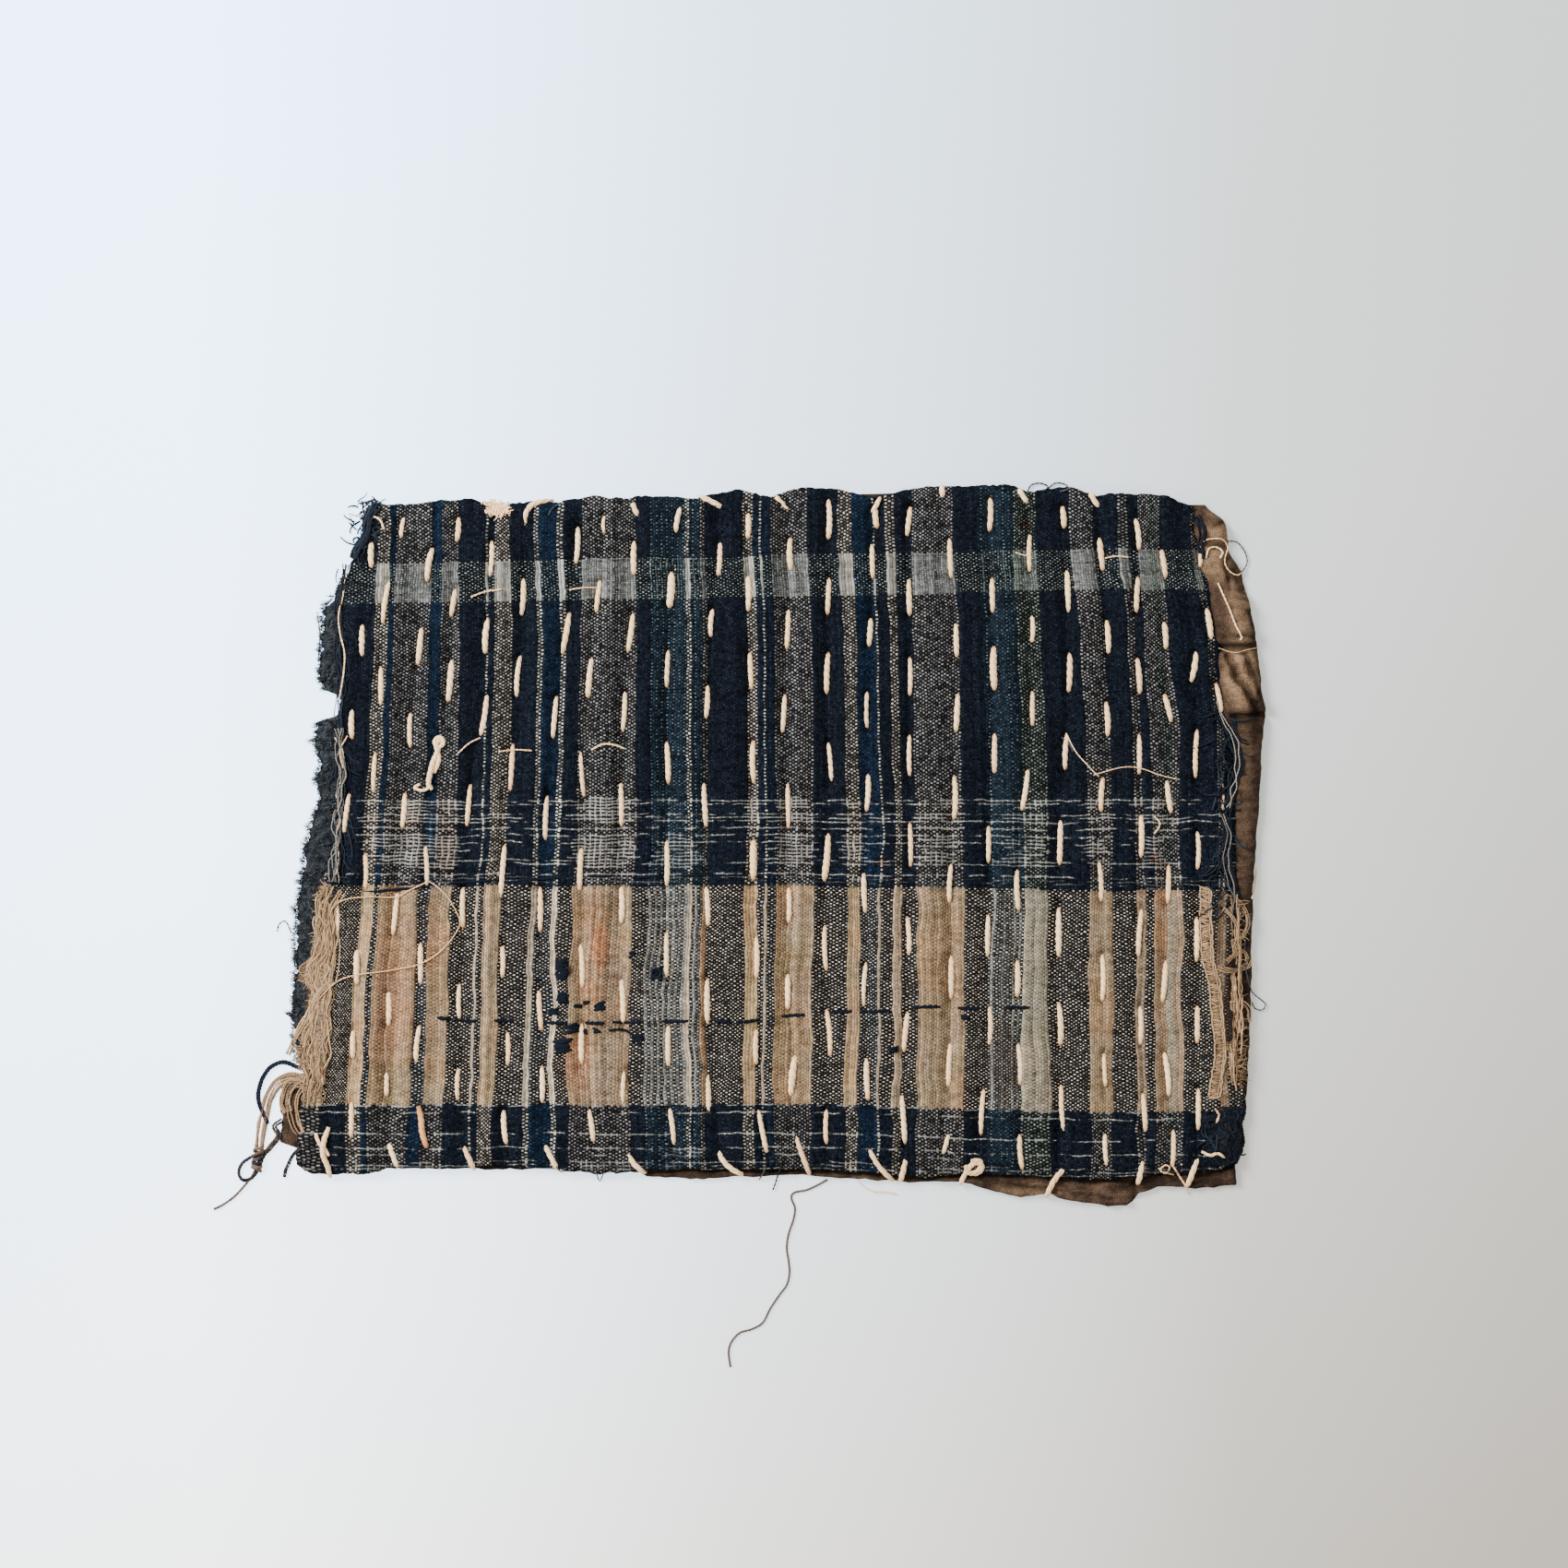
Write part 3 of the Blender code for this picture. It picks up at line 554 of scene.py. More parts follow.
    # Age: pale warp browned in the tan band, rust marks, and slow fading
    blotch = s.noise(coarse, 0.35, 4.0, 0.6)
    browned = s.math("MULTIPLY", tan * tanned, s.linear(blotch, 1.8, 0.6), clamp=True)
    tints = s.mix(s.step(s.noise(elsewhere, 0.22, 3.0), 0.42, 0.62), TAN_TINT, KHAKI_TINT)
    colour = s.mix(browned, colour, s.mix(1.0, colour, tints, "MULTIPLY"))
    colour = s.mix(rust, colour, s.mix(1.0, colour, RUST_TINT, "MULTIPLY"))
    clouds = s.noise(coarse, 0.5, 4.0, 0.6) * 0.8 + s.linear(s.noise(coarse, 3.0, 3.0, 0.6), 1.9, -0.4)
    colour = s.scale(colour, clouds)
    own_tone = s.linear(warp_random, 0.62, 0.7)
    colour = s.mix(both * 0.9, colour, s.scale(colour, own_tone))
    speckle = s.linear(s.noise(coarse, 6.5, 2.0, 0.7), 2.4, -0.2)
    colour = s.mix(s.linear(both, -0.7, 0.85), colour, s.scale(colour, speckle))
    # Bare places: the dark cloth beneath, with painted shade
    colour = s.mix(bare, colour, EXPOSED_AND_SHADED)

    grain = warp_over * warp_grain + (1.0 - warp_over) * weft_grain
    ridge = (1.0 - beside ** 2.0) * both
    plain = grain * s.linear(both, -0.85, 1.0)
    height = plain + ridge + streak * 0.5
    return s.finish(colour, s.bump(height, 0.00020, 0.7))


def yarn_material(name, colour, second, far=None):
    """Spun cotton: two tones along the fibre by each yarn's tint, which holds its own tone and, at the ends
    of stitches, painted shade; a third colour from tint 1 on.
    """
    s = Shade(name, roughness=0.9, specular=0.06)
    place = s.position()
    tint = s.attribute("tint")
    clouds = s.noise(place, 900.0, 3.0)
    fibre = s.noise(place, 5200.0, 2.0)
    blend = s.math("ADD", (clouds - 0.4) * 0.7, tint, clamp=True)
    tone = s.mix(blend, colour, second)
    if far is not None:
        tone = s.mix(s.linear(tint, 0.4, -0.4, clamp=True), tone, far)
    tone = s.scale(tone, s.linear(fibre, 0.5, 0.75))
    return s.finish(tone, s.bump(fibre, 0.00012, 0.6))


def plain_cloth_material(name, dark, light, pitch, fade_scale, pale=None):
    """A plain weave of one dye with faded patches and painted shade round each thread, for the dark layer
    and the brown backing.
    """
    s = Shade(name, roughness=0.95, specular=0.05)
    place = s.position()
    x, y, _ = s.split(place)
    wobble = (s.noise(place, 150.0, 3.0) - 0.5) * 3.0
    across = x / pitch + wobble
    down = y / (pitch * 0.8) + wobble
    warp_number, weft_number = s.math("FLOOR", across), s.math("FLOOR", down)
    over = abs(warp_number + weft_number) % 2.0
    crossing = s.random_crossing(warp_number, weft_number)
    mound = (s.math("SINE", s.math("FRACT", across) * math.pi)
             * s.math("SINE", s.math("FRACT", down) * math.pi))
    faded = s.noise(place, fade_scale, 5.0, 0.65)
    colour = s.mix(s.step(faded, 0.35, 0.68), dark, light)
    if pale is not None:
        colour = s.mix(s.attribute("faded"), colour, pale)
        # Painted shade and light from the mesh: darker in hollows, lighter on ridges
        colour = s.scale(colour, 1.0 - s.attribute("dirty"))
    # Painted shade: each thread darkens towards the gaps round it, with a tone for each crossing and a step
    # between warp and weft
    shade = mound * 0.35 + s.linear(over, 0.12, 0.4) + crossing * 0.45
    rough = mound + s.noise(place, 700.0, 3.0) * 0.8
    return s.finish(s.scale(colour, shade), s.bump(rough, 0.00022, 0.8))


def put(name, points, faces, material, values):
    """Make a smooth mesh object out of arrays of points and faces, and let it ride on the root."""
    mesh = bpy.data.meshes.new(name)
    points = np.array(points, float)
    points[:, 2] = np.maximum(points[:, 2], LOWEST_Z)
    mesh.from_pydata(points.tolist(), [], faces)
    mesh.validate()
    mesh.shade_smooth()
    mesh.materials.append(material)
    for key, array in values.items():
        kind, field = ("FLOAT_VECTOR", "vector") if array.ndim == 3 else ("FLOAT", "value")
        mesh.attributes.new(key, kind, "POINT").data.foreach_set(field, array.astype(np.float32).ravel())
    made = bpy.data.objects.new(name, mesh)
    bpy.context.scene.collection.objects.link(made)
    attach(made, "root")
    return made


def put_cloth(name, px, py, z, material, **values):
    """Make a cloth out of a grid of places in pixels, heights in metres and values for its material."""
    return put(name, spot(px, py, z).reshape(-1, 3), grid_faces(*px.shape), material, values)


def grid_faces(rows, columns):
    """Faces of a grid of rows by columns of points, seen from above."""
    index = np.arange(rows * columns).reshape(rows, columns)
    corners = (index[1:, :-1], index[1:, 1:], index[:-1, 1:], index[:-1, :-1])
    return np.stack(corners, axis=-1).reshape(-1, 4).tolist()


def directions(path):
    """Unit vectors along a path, one for each point."""
    along = np.gradient(path, axis=0)
    return along / (np.linalg.norm(along, axis=1, keepdims=True) + 1e-12)


def distances(path):
    """How far along a path each of its points lies."""
    return np.concatenate([[0.0], np.cumsum(np.linalg.norm(np.diff(path, axis=0), axis=1))])


def walk(x, y, angle, length):
    """Places of a fibre of that length which sets out from x, y and turns through these angles."""
    return (x + np.cumsum(np.cos(angle)) * length / len(angle),
            y + np.cumsum(np.sin(angle)) * length / len(angle))


class Yarns:
    """Collects tubes, then makes one mesh of them."""

    def __init__(self):
        self.points, self.faces, self.tints, self.count = [], [], [], 0

    def tube(self, path, radius, sides=5, tint=0.0, flat=1.0):
        """A closed tube of that radius, or radii, along path; flat squeezes its height."""
        path = np.asarray(path, float)
        steps = len(path)
        along = directions(path)
        side = np.cross(along, (0.0, 0.0, 1.0))
        length = np.linalg.norm(side, axis=1, keepdims=True)
        side = np.where(length > 0.15, side / (length + 1e-12), np.cross(along, (0.0, 1.0, 0.0)))
        up = np.cross(side, along)
        radius = np.broadcast_to(np.asarray(radius, float), (steps,))[:, None, None]
        turn = np.arange(sides) * 2 * math.pi / sides
        ring = side[:, None] * np.cos(turn)[:, None] + up[:, None] * (np.sin(turn) * flat)[:, None]
        self.points.append((path[:, None] + radius * ring).reshape(-1, 3))
        first = self.count + np.arange(steps - 1)[:, None] * sides
        here, after = np.arange(sides), (np.arange(sides) + 1) % sides
        quads = np.stack([first + here, first + sides + here, first + sides + after, first + after],
                         axis=-1)
        self.faces += quads.reshape(-1, 4).tolist()
        self.faces.append((self.count + here).tolist())
        self.faces.append((self.count + (steps - 1) * sides + here[::-1]).tolist())
        self.tints.append(np.repeat(np.broadcast_to(np.asarray(tint, float), (steps,)), sides))
        self.count += steps * sides

    def twist(self, path, radius, plies=3, pitch=0.0030, sides=6, tint=0.0, flat=0.85, start=0.0):
        """A yarn of plies laid round each other along path."""
        path = np.asarray(path, float)
        along = directions(path)
        side = np.cross(along, (0.0, 0.0, 1.0))
        side /= np.linalg.norm(side, axis=1, keepdims=True) + 1e-12
        up = np.cross(side, along)
        walked = distances(path)
        radius = np.broadcast_to(np.asarray(radius, float), (len(path),))
        for ply in range(plies):
            angle = start + walked / pitch * 2 * math.pi + ply * 2 * math.pi / plies
            shift = side * np.cos(angle)[:, None] + up * (np.sin(angle) * flat)[:, None]
            self.tube(path + shift * (radius * 0.40)[:, None], radius * 0.64, sides, tint, flat)

    def make(self, name, material):
        """One mesh object of all the tubes, with each one's tint."""
        return put(name, np.concatenate(self.points), self.faces, material,
                   {"tint": np.concatenate(self.tints)})


def soft_path(points, count):
    """Evenly spaced points on a curve that passes softly through each given point."""
    points = np.asarray(points, float)
    padded = np.vstack([2 * points[0] - points[1], points, 2 * points[-1] - points[-2]])
    t = np.linspace(0.0, 1.0, 12, endpoint=False)[:, None]
    dense = []
    for p0, p1, p2, p3 in zip(padded, padded[1:], padded[2:], padded[3:]):
        pull = ((p2 - p0) * t + (2 * p0 - 5 * p1 + 4 * p2 - p3) * t ** 2
                + (3 * p1 - p0 - 3 * p2 + p3) * t ** 3)
        dense.append(p1 + pull / 2)
    dense = np.vstack([*dense, points[-1:]])
    walked = distances(dense)
    at = np.linspace(0.0, walked[-1], count)
    return np.stack([np.interp(at, walked, dense[:, axis]) for axis in range(dense.shape[1])], axis=-1)


def settled_grid(left, right, top, bottom, across, down, passes=6):
    """Pixel x and y of a grid between four edge tables, at shares across and down."""
    across, down = np.meshgrid(across, down)
    py = 550 + 720 * down
    for _ in range(passes):
        px = read(left, py) * (1 - across) + read(right, py) * across
        py = read(top, px) * (1 - down) + read(bottom, px) * down
    return px, py


def rib_height(px, py):
    """Puff of the face over its stitch lines, as in part.py but rounder."""
    lines = [read(FACE_LEFT, py), *(line_x(row, py) for row in STITCH_LINES), read(FACE_RIGHT, py)]
    puff = np.zeros_like(px)
    for low, high in zip(lines, lines[1:]):
        inside = (px >= low) & (px <= high)
        share = np.clip((px - low) / np.maximum(high - low, 1e-6), 0.0, 1.0)
        height = RIB_HEIGHT * np.minimum((high - low) / RIB_SPACING, 1.15) * np.sin(math.pi * share) ** 0.72
        puff = np.where(inside, height, puff)
    to_side = np.minimum(px - lines[0], lines[-1] - px)
    to_end = np.minimum(py - read(FACE_TOP, px), read(FACE_BOTTOM, px) - py)
    rim = 0.2 + 0.8 * smooth(np.minimum(to_side, to_end) * PX / 0.006)
    return puff * rim * (1.0 + 0.35 * wander(px, py, 55.0, 3))


def face_height(px, py):
    """Height of the face's upper side before the stitches press into it."""
    wrinkle = 0.00022 * wander(px, py * 1.9, 26.0, 11) + 0.00012 * wander(px * 1.6, py, 11.0, 12)
    return FACE_TOP_Z + rib_height(px, py) + wrinkle


def press_stitches(px, py, z, rows):
    """Sink a trough under each stitch, deepest where its thread goes through."""
    for x0, y0, x1, y1, wide in rows:
        near = (np.abs(px - (x0 + x1) / 2) < 26) & (py > min(y0, y1) - 16) & (py < max(y0, y1) + 16)
        x, y = px[near], py[near]
        run = np.array([x1 - x0, y1 - y0])
        length = np.hypot(*run)
        share = ((x - x0) * run[0] + (y - y0) * run[1]) / length ** 2
        kept = np.clip(share, 0.0, 1.0)
        away = np.hypot(x - x0 - kept * run[0], y - y0 - kept * run[1])
        trough = TROUGH_DEPTH * np.exp(-(away / 5.5) ** 2)
        for ex, ey in ((x0, y0), (x1, y1)):
            reach = np.hypot(x - ex, y - ey)
            turn = np.arctan2(y - ey, x - ex)
            trough = trough + HOLE_DEPTH * np.exp(-(reach / 4.0) ** 2)
            star = np.cos(turn * 6 + x0) * np.exp(-(reach / 11.0) ** 2) * smooth(reach / 6.0)
            trough = trough + PUCKER_HEIGHT * star
        z[near] -= trough
    return z


# Soft-edged places on the face: x, y, half width, half height, strength
WORN_PLACES = table("""
    448 893 9 14 1.0, 486 915 9 46 1.0, 468 935 14 16 0.8, 452 905 46 34 1.0, 655 905 32 46 1.0,
    860 900 22 44 0.8, 1015 905 24 40 0.7, 925 905 14 40 0.6, 815 880 8 26 0.9, 735 925 22 22 0.8,
    1110 905 24 36 0.7, 1185 900 16 36 0.6, 1250 900 14 50 0.6, 745 1235 22 26 0.4, 855 1225 24 20 0.35,
    650 1235 30 26 0.2, 400 1230 40 24 0.2, 1015 1235 22 26 0.25, 500 870 20 14 0.6""")
RUST_PLACES = table("""
    448 890 9 12 0.35, 486 915 9 40 0.3, 468 935 12 14 0.3, 651 1025 9 26 0.75, 640 1075 12 14 0.4,
    625 1155 14 34 0.45, 645 985 20 18 0.25, 426 1090 18 60 0.35, 1110 569 5 5 1.0, 953 934 7 5 0.7,
    762 1080 3 90 0.2, 1260 1000 10 40 0.25, 1250 930 5 5 0.7, 470 1010 14 40 0.35, 1040 1190 8 30 0.3""")
BARE_PLACES = table("""
    1340 1082 13 74 1.0, 335 1085 8 80 0.9, 617 1052 5 6 1.0, 612 1130 6 6 1.0, 1318 1020 5 26 0.6,
    1328 1235 12 16 0.9, 1086 1150 16 34 0.4, 400 562 6 14 0.8""")


def patches(px, py, places):
    """Soft-edged spots: the strongest at each point of x, y, half width, half height, strength."""
    strongest = np.zeros_like(px)
    for x, y, wide, tall, strength in places:
        away = np.sqrt(((px - x) / wide) ** 2 + ((py - y) / tall) ** 2)
        strongest = np.maximum(strongest, strength * smooth(1.6 - away))
    return strongest


def weave_place(px, py):
    """Stripe and band coordinates of a point: the stripes fan out and sway, the bands dip a little."""
    reference, *places = zip(*STRIPE_PLACES)
    by_height = [np.interp(px, row, reference) for row in places]
    place = np.interp(py, STRIPE_HEIGHTS, range(len(STRIPE_HEIGHTS)))
    u = np.zeros_like(px)
    for k, row in enumerate(by_height):
        row = row + np.minimum(px - places[k][0], 0.0) + np.maximum(px - places[k][-1], 0.0)
        u = u + row * smooth(1.0 - np.abs(place - k))
    u = u + (0.6 + 1.3 * smooth((py - 930) / 40)) * wander(px * 1.3, py, 34.0, 21)
    tilt = (1.0 - smooth((py - 600) / 350)) * (13.0 - 16.0 * np.clip((px - 400) / 800, 0, 1))
    tilt = tilt + smooth((py - 800) / 300) * 8.0 * smooth((px - 850) / 350)
    v = py - tilt + 1.4 * wander(px, py, 50.0, 22)
    return np.stack([u, v, np.zeros_like(u)], axis=-1)


def check_face():
    """The face cloth, with its ribs, puckers and stitch troughs in the mesh."""
    columns, rows = 368, 258
    across = np.concatenate([[0.0], np.linspace(0.0, 1.0, columns), [1.0]])
    down = np.concatenate([[0.0], np.linspace(0.0, 1.0, rows), [1.0]])
    px, py = settled_grid(FACE_LEFT, FACE_RIGHT, FACE_TOP, FACE_BOTTOM, across, down)
    side = np.minimum(across, 1 - across)[None, :] * FACE_WIDE
    end = np.minimum(down, 1 - down)[:, None] * FACE_TALL
    ragged = np.exp(-side / 4.0)
    px = (px + ragged * np.where(across[None, :] < 0.5, 1, -1)
          * (1.4 + 1.8 * wander(py, py, 5.0, 31) + 2.0 * wander(py, py, 17.0, 32)))
    frayed = np.exp(-end / 3.0)
    py = (py + frayed * np.where(down[:, None] < 0.5, 1, -1)
          * (0.6 + 1.0 * wander(px, px, 4.0, 33) + 1.2 * wander(px, px, 15.0, 34)))
    z = press_stitches(px, py, face_height(px, py), running_stitches())
    z -= 0.0006 * np.exp(-np.minimum(side, end) / 5.0)
    for edge in (z[0, :], z[-1, :], z[:, 0], z[:, -1]):
        edge -= EDGE_DROP
    made = put_cloth("check_face", px, py, z, check_cloth_material(), weave=weave_place(px, py),
                     worn=patches(px, py, WORN_PLACES), rust=patches(px, py, RUST_PLACES),
                     bare=patches(px, py, BARE_PLACES))
    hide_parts("face_cloth")
    return made


GROUND = []


def add_ground(*cloths):
    """Let threads rest on these cloths from here on."""
    for made in cloths:
        points = [vertex.co.copy() for vertex in made.data.vertices]
        GROUND.append(BVHTree.FromPolygons(points, [tuple(face.vertices) for face in made.data.polygons]))


def cloth_z(x, y):
    """Height of the highest cloth at places in pixels, or of the floor."""
    x, y = np.broadcast_arrays(np.asarray(x, float), np.asarray(y, float))
    heights = []
    for place in spot(x.ravel(), y.ravel(), 0.05):
        hits = [tree.ray_cast(place.tolist(), (0.0, 0.0, -1.0))[0] for tree in GROUND]
        heights.append(max([hit.z for hit in hits if hit is not None], default=0.0001))
    return np.array(heights).reshape(x.shape)


def lie(route, lift, count, settle=3):
    """A path in metres through pixel places that rests on whatever lies there, lifted a little."""
    path = soft_path(np.array(route, float), count)
    z = cloth_z(path[:, 0], path[:, 1])
    padded = np.concatenate([np.repeat(z[:1], settle), z, np.repeat(z[-1:], settle)])
    z = np.maximum(np.convolve(padded, np.ones(2 * settle + 1) / (2 * settle + 1), "valid"), z - 0.0002)
    return spot(path[:, 0], path[:, 1], z + lift)


def stitch_path(x0, y0, x1, y1, bow, lift, steps=15):
    """A stitch from where its thread comes up to where it goes down, bowed sideways by some pixels."""
    share = np.linspace(0.0, 1.0, steps)
    length = math.hypot(x1 - x0, y1 - y0)
    arch = np.sin(math.pi * share)
    px = x0 + (x1 - x0) * share + (y1 - y0) / length * bow * arch
    py = y0 + (y1 - y0) * share - (x1 - x0) / length * bow * arch
    ends = np.abs(2 * share - 1)
    z = FACE_TOP_Z + lift - 0.0016 * ends ** 7
    return spot(px, py, z)


def stitching():
    """The cream quilting thread: every stitch along the lines and near the right edge."""
    random = np.random.default_rng(8)
    yarns = Yarns()
    for x0, y0, x1, y1, wide in running_stitches():
        path = stitch_path(x0, y0, x1, y1, random.uniform(-1.6, 1.6), random.uniform(0.00005, 0.0003))
        ends = np.abs(np.linspace(-1, 1, len(path)))
        lumps = 0.07 * wander(np.linspace(0, 4, len(path)) + 9 * x0, np.zeros(len(path)), 1.0, 6)
        radius = STITCH_RADIUS * wide * (1.0 - 0.34 * ends ** 3 + lumps)
        # The ends turn to the second colour: painted shade where the thread goes down into the cloth
        tint = random.uniform(0.0, 0.3) + 0.7 * ends ** 6
        yarns.twist(path, radius, pitch=random.uniform(0.0058, 0.0082), tint=tint,
                    start=random.uniform(0, 6.3))
    made = yarns.make("running_stitches",
                      yarn_material("cream thread", srgb(252, 218, 170), srgb(196, 140, 88)))
    return made


def whip_stitches():
    """Slanting stitches that go over the top and bottom edges."""
    random = np.random.default_rng(9)
    yarns = Yarns()
    for x0, y0, x1, y1, bow in WHIP_STITCHES:
        path = stitch_path(x0, y0, x1, y1, bow, 0.00035, 16)
        share = np.linspace(0.0, 1.0, len(path))
        path[:, 2] = FACE_TOP_Z + 0.0003 - 0.0016 * (1 - share) ** 12 - 0.0028 * share ** 9
        radius = STITCH_RADIUS * (1.0 - 0.25 * np.abs(2 * share - 1) ** 4)
        yarns.twist(path, radius, pitch=0.008, tint=random.uniform(0.05, 0.4), start=random.uniform(0, 6.3))
    made = yarns.make("whip_stitches", bpy.data.materials["cream thread"])
    return made


def mending():
    """Navy running stitches across the tan band, and the long one above it."""
    random = np.random.default_rng(10)
    yarns = Yarns()
    for (rows, text), radius in ((UPPER_MEND, 0.00062), (LOWER_MEND, 0.00074)):
        for low, high in spans(text):
            px = np.linspace(low, high, 9)
            share = np.linspace(-1.0, 1.0, 9)
            z = cloth_z(px, read(rows, px)) + 0.0001 - 0.0009 * np.abs(share) ** 6
            path = spot(px, read(rows, px) + random.uniform(-1, 1), z)
            yarns.twist(path, radius * (1 - 0.3 * np.abs(share) ** 3), plies=2, pitch=0.004, sides=5)
    made = yarns.make("navy_mending", yarn_material("navy thread", srgb(12, 16, 25), srgb(22, 29, 40)))
    return made


def dark_under_layer():
    """The dark layer, fine at its frayed left edge."""
    droop = 15.0
    across = np.concatenate([np.linspace(0.0, 0.06, 30), np.linspace(0.07, 1.0, 50)])
    down = np.linspace(0.0, 1.0, 420)
    top = [(x, y + 6) for x, y in FACE_TOP]
    bottom = [(x, y - 6) for x, y in FACE_BOTTOM]
    right = [(y, x - 6) for y, x in FACE_RIGHT]
    px, py = settled_grid(DARK_LEFT, right, top, bottom, across, down)
    left = read(DARK_LEFT, py)
    px = (px + np.exp(-(px - left) / 4.0)
          * (2.0 * wander(py, py, 4.0, 41) + 2.6 * wander(py, py, 13.0, 42) + 1.0))
    over_flap = smooth((py - 1146) / 12.0)
    level = np.maximum(smooth((px - left) / droop), over_flap)
    inside = px > read(FACE_LEFT, py) - 4
    rumple = 0.0004 * wander(px, py, 9.0, 43) + 0.00025 * wander(px, py, 4.0, 44)
    z = 0.0010 + 0.0012 * level + np.where(inside, 0.0, rumple * level)
    z = np.maximum(z - 0.0004 * np.exp(-(px - left) / 3.0), 0.0004)
    material = plain_cloth_material("dark cotton", srgb(17, 19, 23), srgb(54, 58, 61), pitch=0.00055,
                                    fade_scale=420.0)
    made = put_cloth("dark_under_layer", px, py, z, material)
    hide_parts("dark_layer")
    return made


# Creases pressed into the backing, or raised on it: x, y to x, y, height as a share of the deepest, and
# width in pixels
DEEPEST_CREASE = 0.0022
BACKING_CREASES = table("""
    1322 703 1366 700 -1.0 4, 1330 712 1362 772 -1.1 4, 1347 706 1356 750 -0.7 3,
    1352 664 1360 684 -0.9 3, 1334 640 1348 690 0.5 8, 1344 716 1366 768 0.6 4, 1324 716 1350 768 0.5 5,
    1300 588 1328 594 -0.6 5, 1330 606 1348 640 -0.6 5, 1334 777 1369 775 -0.8 3,
    1300 556 1322 580 0.5 6, 1336 660 1356 664 -0.4 3, 1338 674 1356 680 -0.3 3,
    1338 640 1352 643 -0.4 2.5, 1337 650 1354 652 -0.4 2.5, 1334 620 1350 626 -0.4 2.5,
    1316 572 1334 560 -0.5 3, 1326 610 1334 640 -0.6 3, 1326 724 1340 740 -0.6 3,
    1352 716 1364 752 -0.5 3, 1340 690 1362 692 -0.5 3, 1090 1284 1140 1290 -0.5 3,
    1150 1284 1215 1298 0.6 5, 1100 1292 1180 1300 0.4 4, 1226 1278 1228 1302 -0.9 3,
    1010 1278 1060 1281 0.3 3""")


def creased(px, py, rows):
    """Soft troughs and ridges along short lines, in metres."""
    total = np.zeros_like(px)
    for x0, y0, x1, y1, height, wide in rows:
        run = np.array([x1 - x0, y1 - y0], float)
        share = np.clip(((px - x0) * run[0] + (py - y0) * run[1]) / (run @ run), 0.0, 1.0)
        away = np.hypot(px - x0 - share * run[0], py - y0 - share * run[1])
        total = total + height * DEEPEST_CREASE * np.exp(-(away / wide) ** 2)
    return total


# Faded places on the backing: x, y, half width, half height, strength
FADED_BACKING = table("""
    1318 600 20 28 0.75, 1342 728 16 34 0.85, 1318 560 10 14 0.3, 1344 655 14 34 0.55,
    1346 850 8 90 0.15, 316 1205 12 30 0.05, 1112 1290 30 8 0.25""")


